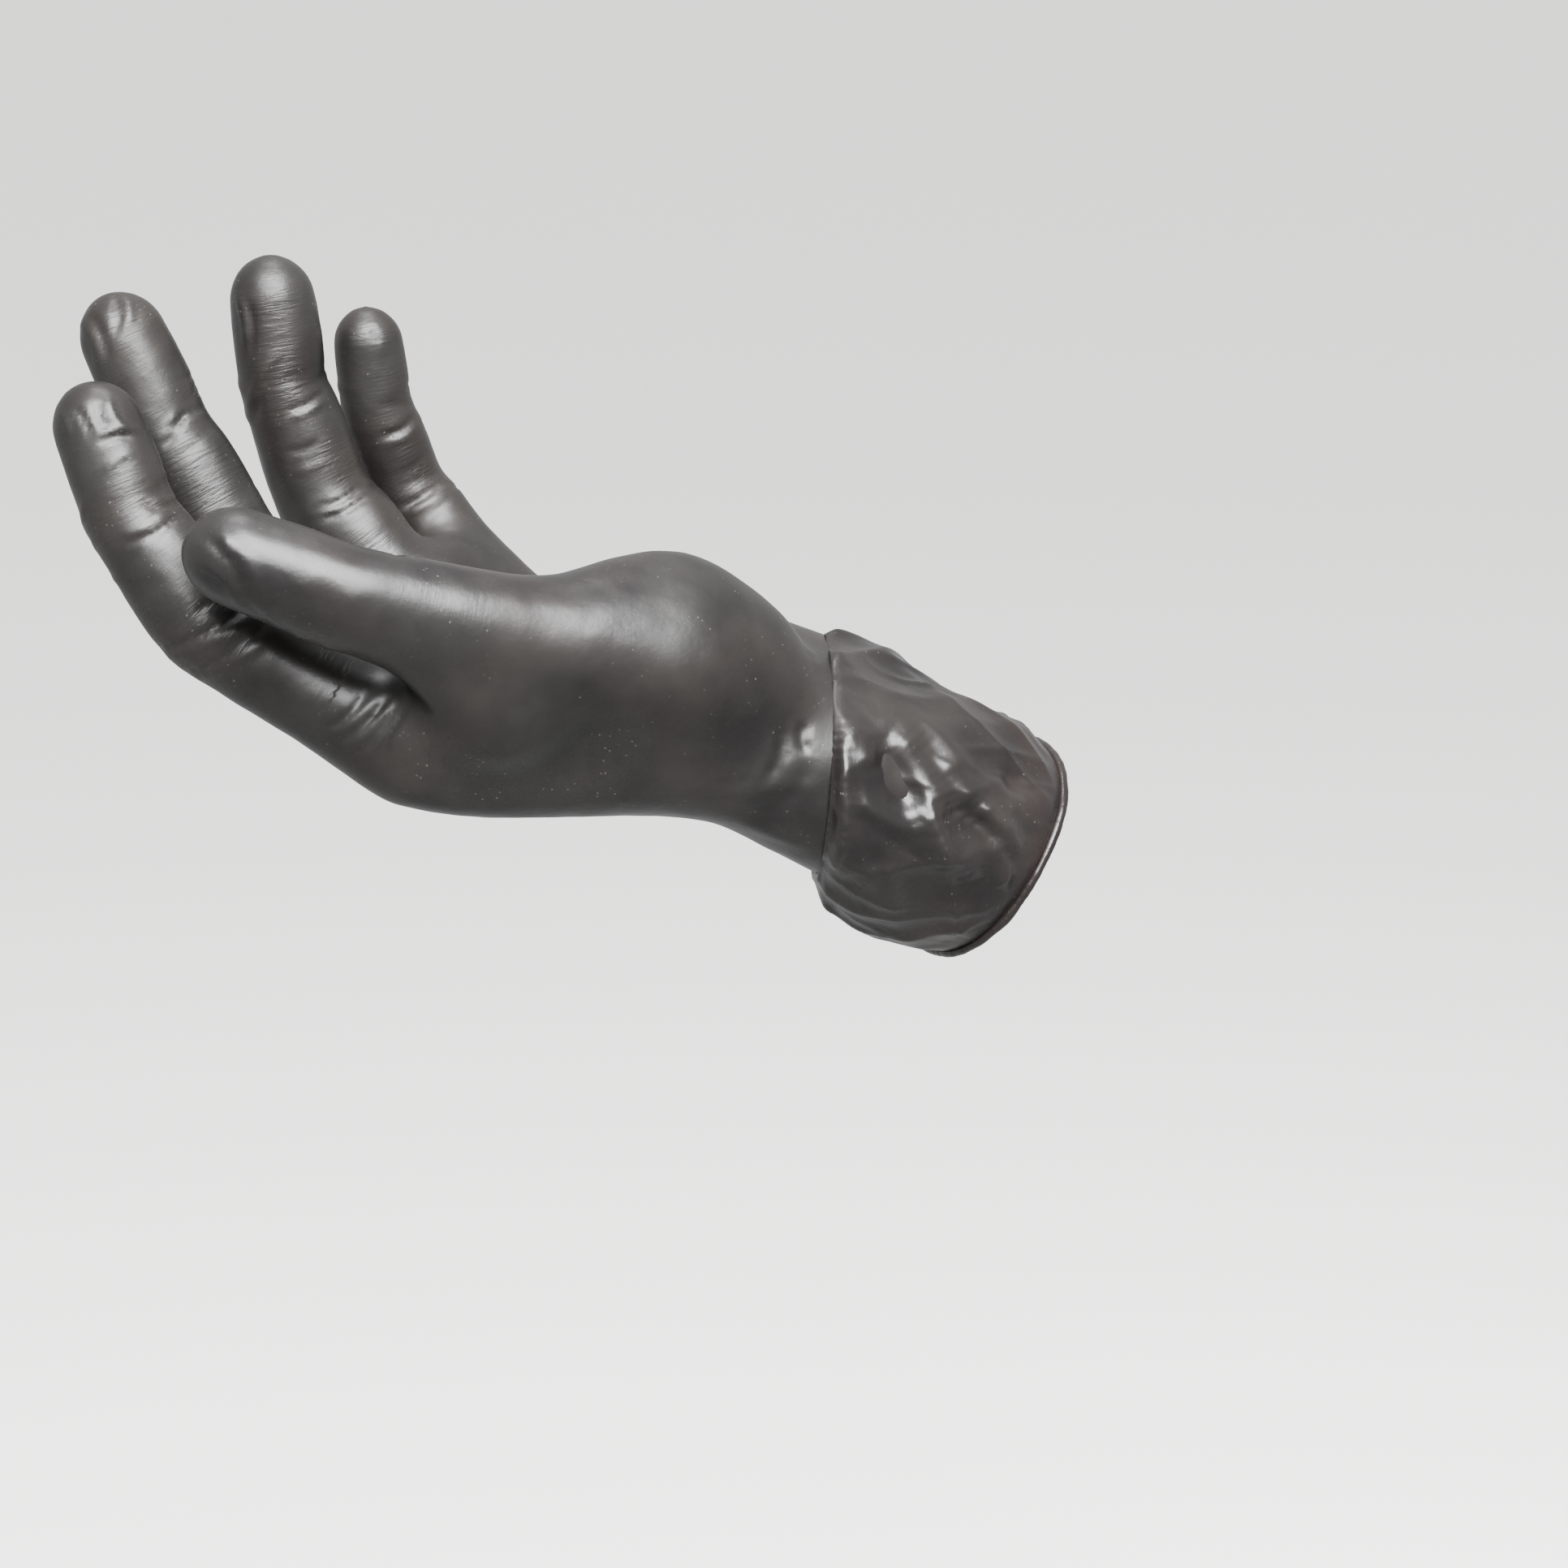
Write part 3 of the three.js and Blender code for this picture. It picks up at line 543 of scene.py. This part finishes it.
def locate(points):
    """For each point its nearest digit or palm, and its place along and round that part in mm."""
    label = np.full(len(points), "palm", dtype=object)
    best = np.full(len(points), 1.35)
    along = -points[:, 0].copy()
    around = points[:, 1].copy()
    for name in DIGIT_NODES:
        path, axis = digit_path(name)
        length, breadth = DIGITS[name][:2]
        rough = path[::3]
        d = np.linalg.norm(points[:, None].astype(np.float32) - rough[None].astype(np.float32), axis=2)
        k = d.argmin(1)
        share = k / (len(rough) - 1)
        root = 0.5 if name == "thumb" else 0.2
        close = d.min(1) / (breadth * 0.5)
        mine = (share > root) & (close < best)
        tangent = unit(np.gradient(rough, axis=0))
        up = unit(np.cross(axis, tangent))[k]
        across = np.cross(tangent[k], up)
        off = points - rough[k]
        run = share * length + (off * tangent[k]).sum(1)
        turn = np.arctan2((off * across).sum(1), (off * up).sum(1))
        label[mine] = name
        best[mine] = close[mine]
        along[mine] = run[mine]
        around[mine] = (turn * breadth * 0.5)[mine]
    return label, along, around


def field(points, scale, offset, octaves=1):
    """Smooth noise at points in mm, stretched by scale on each axis."""
    q = points * np.asarray(scale) + offset
    if octaves == 1:
        return np.array([noise.noise(Vector(p)) for p in q])
    return np.array([noise.fractal(Vector(p), 1.0, 2.0, octaves) for p in q])


def hex_linear(code):
    """Linear colour of a six-digit sRGB hex code."""
    parts = [int(code[i : i + 2], 16) / 255 for i in (1, 3, 5)]
    return tuple(c / 12.92 if c <= 0.04045 else ((c + 0.055) / 1.055) ** 2.4 for c in parts) + (1.0,)


def add_node(tree, kind, inputs=None, **settings):
    """A shader node with its settings and sockets filled or linked."""
    node = tree.nodes.new(kind)
    for key, value in settings.items():
        setattr(node, key, value)
    for key, value in (inputs or {}).items():
        if isinstance(value, bpy.types.NodeSocket):
            tree.links.new(value, node.inputs[key])
        else:
            node.inputs[key].default_value = value
    return node


def grey(value):
    """A linear grey."""
    return (value, value, value, 1.0)


def mixed(tree, factor, first, second):
    """A blend of two colours, the first a linked socket and the second a linear colour."""
    node = add_node(tree, "ShaderNodeMix", {"Factor": factor}, data_type="RGBA")
    colours = {socket.name: socket for socket in node.inputs if socket.type == "RGBA"}
    tree.links.new(first, colours["A"])
    colours["B"].default_value = second
    return next(socket for socket in node.outputs if socket.type == "RGBA")


def ramp(tree, source, low, high, colour_low, colour_high):
    """A colour ramp between two places."""
    node = add_node(tree, "ShaderNodeValToRGB", {"Fac": source})
    node.color_ramp.elements[0].position = low
    node.color_ramp.elements[0].color = colour_low
    node.color_ramp.elements[1].position = high
    node.color_ramp.elements[1].color = colour_high
    return node.outputs["Color"]


def cloudy(tree, place, scale, detail, **more):
    """Noise at a scale per metre with its levels of detail."""
    inputs = {"Vector": place, "Scale": scale, "Detail": detail, **more}
    return add_node(tree, "ShaderNodeTexNoise", inputs).outputs["Fac"]


def product(tree, first, second):
    """Two masks multiplied."""
    return add_node(tree, "ShaderNodeMath", {0: first, 1: second}, operation="MULTIPLY").outputs[0]


def bumped(tree, height, strength, distance, under=None):
    """The normal after a bump, laid over the bumps under it."""
    inputs = {"Height": height, "Strength": strength, "Distance": distance}
    if under is not None:
        inputs["Normal"] = under
    return add_node(tree, "ShaderNodeBump", inputs).outputs["Normal"]


def film_material(name, base, thin, gloss_low, gloss_high, loose):
    """Black nitrile film: satin, finely creased, dusted with specks, brown where it is thin."""
    material = bpy.data.materials.new(name)
    material.use_nodes = True
    tree = material.node_tree
    tree.nodes.clear()
    place = add_node(tree, "ShaderNodeTexCoord").outputs["Object"]
    film = add_node(tree, "ShaderNodeAttribute", attribute_name="film").outputs["Vector"]
    thin_mask = add_node(tree, "ShaderNodeAttribute", attribute_name="thin").outputs["Fac"]
    crease_mask = add_node(tree, "ShaderNodeAttribute", attribute_name="creased").outputs["Fac"]
    cloud = cloudy(tree, place, 55.0, 4.0)
    fine = cloudy(tree, place, 900.0, 3.0)
    specks = add_node(tree, "ShaderNodeTexVoronoi", {"Vector": place, "Scale": 620.0}).outputs
    speck_size = cloudy(tree, place, 140.0, 2.0)
    speck_dot = ramp(tree, specks["Distance"], 0.06, 0.16, grey(1), grey(0))
    speck_few = ramp(tree, speck_size, 0.5, 0.68, grey(0), grey(1))
    dust = product(tree, speck_dot, speck_few)
    tint = ramp(tree, cloud, 0.35, 0.68, hex_linear(base[0]), hex_linear(base[1]))
    colour = mixed(tree, thin_mask, tint, hex_linear(thin))
    colour = mixed(tree, dust, colour, hex_linear("#33312e"))
    rough = add_node(
        tree,
        "ShaderNodeMapRange",
        {"Value": cloud, "From Min": 0.3, "From Max": 0.7, "To Min": gloss_low, "To Max": gloss_high},
    ).outputs["Result"]
    # Hairline wrinkles across each digit: close together along it and long round it.
    stretched = add_node(
        tree, "ShaderNodeMapping", {"Vector": film, "Scale": (1400.0, 150.0, 1.0)}
    ).outputs["Vector"]
    hairs = cloudy(tree, stretched, 1.0, 3.0, Distortion=0.6)
    patch = ramp(tree, cloudy(tree, place, 70.0, 2.0), 0.45, 0.65, grey(0.12), grey(1))
    hair_height = product(tree, product(tree, hairs, patch), crease_mask)
    bump = bumped(tree, hair_height, 0.6, 0.0003)
    crumple = cloudy(tree, place, 190.0 if loose else 240.0, 4.0)
    bump = bumped(tree, crumple, 0.2 if loose else 0.12, 0.0007, bump)
    bump = bumped(tree, fine, 0.14, 0.0002, bump)
    shader = add_node(
        tree,
        "ShaderNodeBsdfPrincipled",
        {
            "Base Color": colour,
            "Roughness": rough,
            "IOR": 1.52,
            "Specular IOR Level": 0.2,
            "Normal": bump,
        },
    )
    output = add_node(tree, "ShaderNodeOutputMaterial")
    tree.links.new(shader.outputs["BSDF"], output.inputs["Surface"])
    return material


def set_attribute(mesh, name, kind, values):
    """Store a value at each point for the materials."""
    attribute = mesh.attributes.new(name, kind, "POINT")
    key = "vector" if kind == "FLOAT_VECTOR" else "value"
    attribute.data.foreach_set(key, np.asarray(values, float).ravel())


def set_film_place(mesh, along, around):
    """Store how far along and round its part each point lies, from mm."""
    set_attribute(mesh, "film", "FLOAT_VECTOR", np.stack([along, around, 0 * along], 1) / 1000)


def build_hand(settings):
    """The film over the palm and the digits, one continuous skin."""
    verts, faces = [], []

    def take(part):
        """Add a body's points and faces to the others."""
        start = sum(len(v) for v in verts)
        verts.append(part[0])
        faces.extend(tuple(i + start for i in f) for f in part[1])

    take(loft_mesh(palm_rings(np.linspace(-0.2, 1.26, 70))))
    for name in DIGIT_NODES:
        take(digit_body(name))
    base = mesh_object("hand_film", np.concatenate(verts), faces)
    parts = [base]
    for hull in web_hulls():
        bm = bmesh.new()
        for centre, radius in hull:
            made = bmesh.ops.create_icosphere(bm, subdivisions=3, radius=radius / 1000)
            bmesh.ops.translate(bm, verts=made["verts"], vec=Vector(centre / 1000))
        result = bmesh.ops.convex_hull(bm, input=bm.verts)
        inside = [g for g in result["geom_interior"] if isinstance(g, bmesh.types.BMVert)]
        bmesh.ops.delete(bm, geom=inside, context="VERTS")
        mesh = bpy.data.meshes.new("web")
        bm.to_mesh(mesh)
        bm.free()
        web = bpy.data.objects.new("web", mesh)
        bpy.context.collection.objects.link(web)
        parts.append(web)
    bpy.ops.object.select_all(action="DESELECT")
    for obj in parts:
        obj.select_set(True)
    bpy.context.view_layer.objects.active = base
    bpy.ops.object.join()
    remesh = base.modifiers.new("remesh", "REMESH")
    remesh.mode = "VOXEL"
    remesh.voxel_size = settings.film_mesh_step
    baked(base)
    mesh = base.data
    points = points_of(mesh)
    points = relax(mesh, points, np.full(len(points), 0.5), 8)
    # The skin fills the corners between the digits and the palm.
    soft = np.zeros(len(points))
    for centre, reach in junctions():
        soft = np.maximum(soft, np.clip(1.4 - np.linalg.norm(points - centre, axis=1) / reach, 0, 1))
    points = relax(mesh, points, 0.6 * soft, settings.corner_rounds)
    set_points(mesh, points)
    label, along, around = locate(points)
    normals = normals_of(mesh)
    lumps = 0.18 * field(points, 0.07, (3.1, 0.4, 7.7)) + 0.08 * field(points, 0.22, (9.2, 5.1, 1.3))
    points = points + normals * lumps[:, None]
    height = crease_heights(points, normals, label) + joint_creases(label, along, around)
    points = points + normals * (height * settings.crease_depth)[:, None]
    set_points(mesh, points)
    # The end of the film inside the cuff is open.
    end = palm_rings([-0.19])[0]
    centre = end.mean(0)
    way = unit(np.cross(end[0] - centre, end[24] - centre))
    if way[0] < 0:
        way = -way
    beyond = ((points - centre) @ way) > 0
    beyond &= np.linalg.norm(points - centre, axis=1) < 60
    set_film_place(mesh, along, around)
    set_attribute(mesh, "thin", "FLOAT", np.clip(field(points, 0.05, (1.7, 8.8, 2.2)) * 0.4, 0, 0.12))
    creased = np.where(label == "palm", 0.06, 1.0)
    creased = np.where(label == "thumb", 0.25, creased)
    set_attribute(mesh, "creased", "FLOAT", creased)
    bm = bmesh.new()
    bm.from_mesh(mesh)
    bm.verts.ensure_lookup_table()
    bmesh.ops.delete(bm, geom=[bm.verts[i] for i in np.flatnonzero(beyond)], context="VERTS")
    bm.to_mesh(mesh)
    bm.free()
    mesh.polygons.foreach_set("use_smooth", [True] * len(mesh.polygons))
    return base


def junctions():
    """Corners where the film spans between parts, with how far each one reaches."""
    found = []
    for name in DIGIT_NODES[1:]:
        path, _ = digit_path(name)
        found.append((path_at(path, 0.12), 17.0))
    thumb, _ = digit_path("thumb")
    found.append((thumb[0], 28.0))
    found.append((path_at(thumb, 0.3), 24.0))
    found.extend((palm_place(*place), reach) for *place, reach in CORNERS)
    return found


def joint_creases(label, along, around):
    """Fine creases across the inner side of each joint, and looser ones on the nail's side."""
    height = np.zeros(len(along))
    rng = np.random.default_rng(4)
    for name in DIGIT_NODES:
        length, breadth = DIGITS[name][:2]
        bones = DIGITS[name][6]
        mine = label == name
        middle = np.cumsum([b[0] for b in bones])[:2] * length
        for joint in middle:
            for _ in range(7):
                at = joint + rng.normal(0, 4.5)
                turn = rng.uniform(-0.5, 0.5) * breadth
                lean = rng.uniform(-0.35, 0.35)
                reach = rng.uniform(3, 7)
                d = along - at - lean * (around - turn)
                span = np.exp(-(((around - turn) / reach) ** 2))
                height += mine * -rng.uniform(0.1, 0.3) * np.exp(-((d / 0.7) ** 2)) * span
            for _ in range(6):
                at = joint + rng.normal(0, 5)
                turn = breadth * 0.5 * math.pi * rng.choice((-1, 1)) * rng.uniform(0.75, 1)
                lean = rng.uniform(-0.5, 0.5)
                d = along - at - lean * (around - turn)
                span = np.exp(-(((around - turn) / rng.uniform(4, 8)) ** 2))
                height += mine * rng.uniform(0.12, 0.3) * np.exp(-((d / 0.9) ** 2)) * span
    return height


def cuff_surface(places, count):
    """Points of the creased cuff, a row for each place along it, with their outward directions."""
    rows = curve_at(CUFF, places)
    angle = (np.arange(count) + 0.5) / count * 2 * math.pi
    grid, outs = [], []
    for at, row in zip(places, rows):
        _, slack, sag, rim, yaw, roll, pitch = row
        slack = slack * CUFF_SLACK
        side = (WRIST_BREADTH + (RIM_BREADTH - WRIST_BREADTH) * rim) / 2 + slack
        deep = (WRIST_THICKNESS + (RIM_THICKNESS - WRIST_THICKNESS) * rim) / 2 + slack
        across, up = section_frame(yaw, roll, pitch)
        centre = CUFF_FOLD + CUFF_WAY * at * CUFF_LENGTH
        ring = ring_points(centre, across, up, side, deep, deep + sag * CUFF_SAG, count, 2.15)
        grid.append(ring)
        outs.append(unit(ring - centre))
    return np.array(grid), np.array(outs), angle


def ridged(points, turn, tight, loose, offset):
    """Sharp ridges that run along the sleeve, turned by `turn` radians over its length."""
    flat = points @ CUFF_WAY
    a = unit(np.cross(CUFF_WAY, (0, 0, 1.0)))
    b = np.cross(CUFF_WAY, a)
    off = points - CUFF_FOLD
    x, y = off @ a, off @ b
    spin = turn * (off @ CUFF_WAY) / CUFF_LENGTH
    xs = x * np.cos(spin) - y * np.sin(spin)
    ys = x * np.sin(spin) + y * np.cos(spin)
    q = np.stack([xs * tight, ys * tight, flat * loose], 1) + offset
    n = np.array([noise.noise(Vector(p)) for p in q])
    return np.clip(1 - np.abs(n) * 2.2, 0, 1) ** 1.7


def on_film(ring, centre):
    """Where a ring of points, drawn in towards its centre, meets the film over the wrist."""
    film = bpy.data.objects["hand_film"]
    tree = BVHTree.FromObject(film, bpy.context.evaluated_depsgraph_get())
    met = []
    for point in ring:
        way = unit(point - centre)
        hit = tree.ray_cast(Vector(centre / 1000), Vector(way))[0]
        met.append(np.array(hit) * 1000 - way * 0.25 if hit else point - way * 2.5)
    return np.array(met)


def build_cuff(settings):
    """The baggy sleeve, crumpled as a loose film is, from its tucked fold to its rim."""
    count, edge = CUFF_COUNT, ROLL_ROWS - 1
    places = np.concatenate([[0.0] * ROLL_ROWS, np.linspace(0.0, 1.0, CUFF_ROWS)[1:]])
    grid, outs, angle = cuff_surface(places, count)
    # The film turns under in a small round roll where it laps the wrist, and lies close to the
    # wrist on the side that faces the camera.
    fold = grid[edge].copy()
    lip = on_film(fold, CUFF_FOLD)
    snug = 0.7 * np.clip((unit(CAMERA_PLACE - fold) * outs[edge]).sum(1) * 1.6, 0, 1)[:, None]
    for j in range(ROLL_ROWS, SNUG_END):
        near = (1 - places[j] / places[SNUG_END]) ** 2
        grid[j] = grid[j] + (lip - fold) * snug * near
    fold = fold + (lip - fold) * snug
    ahead = unit(np.cross(fold[0] - CUFF_FOLD, fold[count // 4] - CUFF_FOLD))
    ahead = ahead * np.sign(ahead @ CUFF_WAY)
    for j in range(ROLL_ROWS):
        phi = math.pi / 2 * j / edge
        grid[j] = lip + (fold - lip) * math.sin(phi) - ahead * 1.2 * math.cos(phi) * math.sin(phi)
    rows = len(grid)
    points = grid.reshape(-1, 3)
    outward = outs.reshape(-1, 3)
    at = np.repeat(places, count)
    row_number = np.repeat(np.arange(rows), count)
    calm = np.clip((1 - at) / 0.16, 0.12, 1) * np.clip(row_number / 12, 0, 1)
    folds = sum(height * ridged(points, *shape) for height, *shape in CUFF_RIDGES)
    folds += 1.4 * field(points, 0.05, (5.5, 2.2, 8.1)) - 1.7
    facing = (unit(CAMERA_PLACE - points) * outward).sum(1)
    shown = np.clip(facing / 0.3, 0, 1)
    named = crease_heights(points, outward, np.full(len(points), "cuff", dtype=object))
    height = calm * (folds * settings.cuff_crumple * (1 - 0.3 * shown) + CUFF_CREASE_GAIN * named)
    points = points + outward * height[:, None]
    obj = mesh_object("cuff_film", points, sleeve_faces(rows, count))
    mesh = obj.data
    relaxed = relax(mesh, points_of(mesh), np.full(len(points), 0.35), 3)
    rim = row_number == rows - 1
    relaxed[rim] = points[rim]
    set_points(mesh, relaxed)
    set_film_place(mesh, at * CUFF_LENGTH, np.tile(angle, rows) * 28)
    thin = np.clip((at - 0.55) / 0.45, 0, 1) * 0.35 * np.clip(0.6 + field(points, 0.09, (3, 9, 4)), 0, 1)
    set_attribute(mesh, "thin", "FLOAT", thin)
    set_attribute(mesh, "creased", "FLOAT", np.full(len(points), 0.25))
    wall = obj.modifiers.new("wall", "SOLIDIFY")
    wall.thickness = settings.film_thickness
    wall.offset = -1
    baked(obj)
    obj.data.polygons.foreach_set("use_smooth", [True] * len(obj.data.polygons))
    rim_line = points.reshape(rows, count, 3)[-1]
    return obj, rim_line


def build_bead(rim):
    """The rolled bead along the rim: a slightly uneven roll of film with a groove where it closes."""
    count = len(rim)
    centre = rim.mean(0)
    sides = 18
    wave = field(rim, 0.25, (6.1, 0.2, 3.3)) * 0.18 + field(rim, 0.9, (1.1, 4.2, 2.3)) * 0.08
    middle = rim + CUFF_WAY * 0.7
    verts = []
    for i in range(count):
        out = unit(rim[i] - centre)
        turn = np.arange(sides) / sides * 2 * math.pi
        radius = 1.0 + wave[i] - 0.22 * np.exp(-(((turn - 4.1) / 0.28) ** 2))
        across = middle[i] + np.outer(np.cos(turn) * radius, out)
        verts.append(across + np.outer(np.sin(turn) * radius, CUFF_WAY))
    verts = np.concatenate(verts)
    faces = []
    for r in range(count):
        n = (r + 1) % count
        for i in range(sides):
            j = (i + 1) % sides
            faces.append((r * sides + i, n * sides + i, n * sides + j, r * sides + j))
    obj = mesh_object("rolled_bead", verts, faces)
    mesh = obj.data
    around = np.repeat(np.arange(count), sides) / count * 160
    set_film_place(mesh, around, 0 * around)
    set_attribute(mesh, "thin", "FLOAT", np.full(len(verts), 0.1))
    set_attribute(mesh, "creased", "FLOAT", np.full(len(verts), 1.0))
    return obj


class GloveSettings(bpy.types.PropertyGroup):
    """Sizes and strengths of the glove's film"""

    film_mesh_step: bpy.props.FloatProperty(
        name="Film mesh step",
        description="Spacing of the film's mesh over the hand",
        default=0.00088,
        min=0.0007,
        max=0.004,
        unit="LENGTH",
    )
    film_thickness: bpy.props.FloatProperty(
        name="Film thickness",
        description="Thickness of the cuff's film as it is drawn",
        default=0.0003,
        min=0.0001,
        max=0.001,
        unit="LENGTH",
    )
    corner_rounds: bpy.props.IntProperty(
        name="Corner smoothing",
        description="How often the corners between the digits and the palm are smoothed",
        default=110,
        min=0,
        max=200,
    )
    crease_depth: bpy.props.FloatProperty(
        name="Crease depth",
        description="Share of the measured depth that the creases over the hand have",
        default=1.0,
        min=0.0,
        max=2.0,
        subtype="FACTOR",
    )
    cuff_crumple: bpy.props.FloatProperty(
        name="Cuff crumple",
        description="Strength of the loose cuff's folds",
        default=1.0,
        min=0.0,
        max=2.0,
        subtype="FACTOR",
    )


def give(obj, material, nodes):
    """Give a piece its material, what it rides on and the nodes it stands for."""
    obj.data.materials.clear()
    obj.data.materials.append(material)
    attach(obj, "root")
    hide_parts(*nodes)


class GLOVE_OT_hand_film(bpy.types.Operator):
    """Build the continuous film over the palm and the digits"""

    bl_idname = "glove.hand_film"
    bl_label = "Hand Film"

    def execute(self, context):
        settings = context.scene.glove
        obj = build_hand(settings)
        look = film_material(
            "stretched black nitrile film", ("#0b0a0a", "#131211"), "#1c1512", 0.34, 0.46, False
        )
        give(obj, look, ("palm",) + DIGIT_NODES)
        return {"FINISHED"}


class GLOVE_OT_cuff(bpy.types.Operator):
    """Build the loose creased cuff and the rolled bead along its rim"""

    bl_idname = "glove.cuff"
    bl_label = "Cuff and Bead"

    def execute(self, context):
        settings = context.scene.glove
        cuff, rim = build_cuff(settings)
        loose = film_material(
            "loose black nitrile film", ("#0b0a0a", "#131110"), "#201714", 0.29, 0.42, True
        )
        give(cuff, loose, ("cuff",))
        bead = build_bead(rim)
        roll = film_material(
            "rolled black nitrile bead", ("#0b0a0a", "#121010"), "#20140f", 0.24, 0.36, False
        )
        give(bead, roll, ("cuff_bead",))
        return {"FINISHED"}


class GLOVE_OT_stage(bpy.types.Operator):
    """Build the pale floor, the soft studio lights and the camera"""

    bl_idname = "glove.stage"
    bl_label = "Stage"

    def execute(self, context):
        corners = [
            (-FLOOR_HALF, FLOOR_NEAR, FLOOR_HEIGHT),
            (FLOOR_HALF, FLOOR_NEAR, FLOOR_HEIGHT),
            (FLOOR_HALF, FLOOR_FAR, FLOOR_HEIGHT),
            (-FLOOR_HALF, FLOOR_FAR, FLOOR_HEIGHT),
        ]
        floor = mesh_object("floor", corners, [(0, 1, 2, 3)], smooth=False)
        paint = bpy.data.materials.new("pale studio floor")
        paint.use_nodes = True
        shader = paint.node_tree.nodes["Principled BSDF"]
        shader.inputs["Base Color"].default_value = hex_linear("#f4f4f2")
        shader.inputs["Roughness"].default_value = 0.9
        floor.data.materials.append(paint)
        floor.visible_glossy = False
        world = bpy.data.worlds.new("soft white surround")
        world.use_nodes = True
        background = world.node_tree.nodes["Background"]
        background.inputs["Color"].default_value = (1, 1, 1, 1)
        background.inputs["Strength"].default_value = SURROUND_STRENGTH
        context.scene.world = world
        aim = Vector(VIEW_MIDDLE / 1000)
        for name, place, size, power in SOFTBOXES:
            lamp = bpy.data.lights.new(name, "AREA")
            lamp.size = size
            lamp.energy = power
            obj = bpy.data.objects.new(name, lamp)
            obj.location = place
            obj.rotation_euler = (aim - Vector(place)).to_track_quat("-Z", "Y").to_euler()
            context.collection.objects.link(obj)
        panel = bpy.data.lights.new("ceiling panels", "SUN")
        panel.energy = CEILING_STRENGTH
        panel.angle = math.radians(CEILING_WIDTH)
        above = bpy.data.objects.new("ceiling panels", panel)
        above.rotation_euler = (math.radians(CEILING_TILT), 0, 0)
        context.collection.objects.link(above)
        camera = bpy.data.cameras.new("camera")
        camera.sensor_width = 36
        camera.lens = 36 * VIEW_DISTANCE * VIEW_SCALE / VIEW_SIDE
        holder = bpy.data.objects.new("camera", camera)
        back = Vector(VIEW_BACK)
        holder.location = aim + back * (VIEW_DISTANCE / 1000)
        holder.rotation_euler = (-back).to_track_quat("-Z", "Y").to_euler()
        context.collection.objects.link(holder)
        context.scene.camera = holder
        return {"FINISHED"}


class GLOVE_PT_panel(bpy.types.Panel):
    """Settings and steps of the glove"""

    bl_label = "Nitrile Glove"
    bl_idname = "GLOVE_PT_panel"
    bl_space_type = "VIEW_3D"
    bl_region_type = "UI"
    bl_category = "Glove"

    def draw(self, context):
        settings = context.scene.glove
        for name in ("film_mesh_step", "film_thickness", "corner_rounds", "crease_depth", "cuff_crumple"):
            self.layout.prop(settings, name)
        for step in ("glove.hand_film", "glove.cuff", "glove.stage"):
            self.layout.operator(step)


CLASSES = (GloveSettings, GLOVE_OT_hand_film, GLOVE_OT_cuff, GLOVE_OT_stage, GLOVE_PT_panel)


def register():
    """Make the settings, the steps and the panel known."""
    for cls in CLASSES:
        bpy.utils.register_class(cls)
    bpy.types.Scene.glove = bpy.props.PointerProperty(type=GloveSettings)


def unregister():
    """Take them away again."""
    del bpy.types.Scene.glove
    for cls in reversed(CLASSES):
        bpy.utils.unregister_class(cls)


def main():
    """Build the stage and the glove."""
    register()
    bpy.ops.glove.stage()
    bpy.ops.glove.hand_film()
    bpy.ops.glove.cuff()


if __name__ == "__main__":
    main()
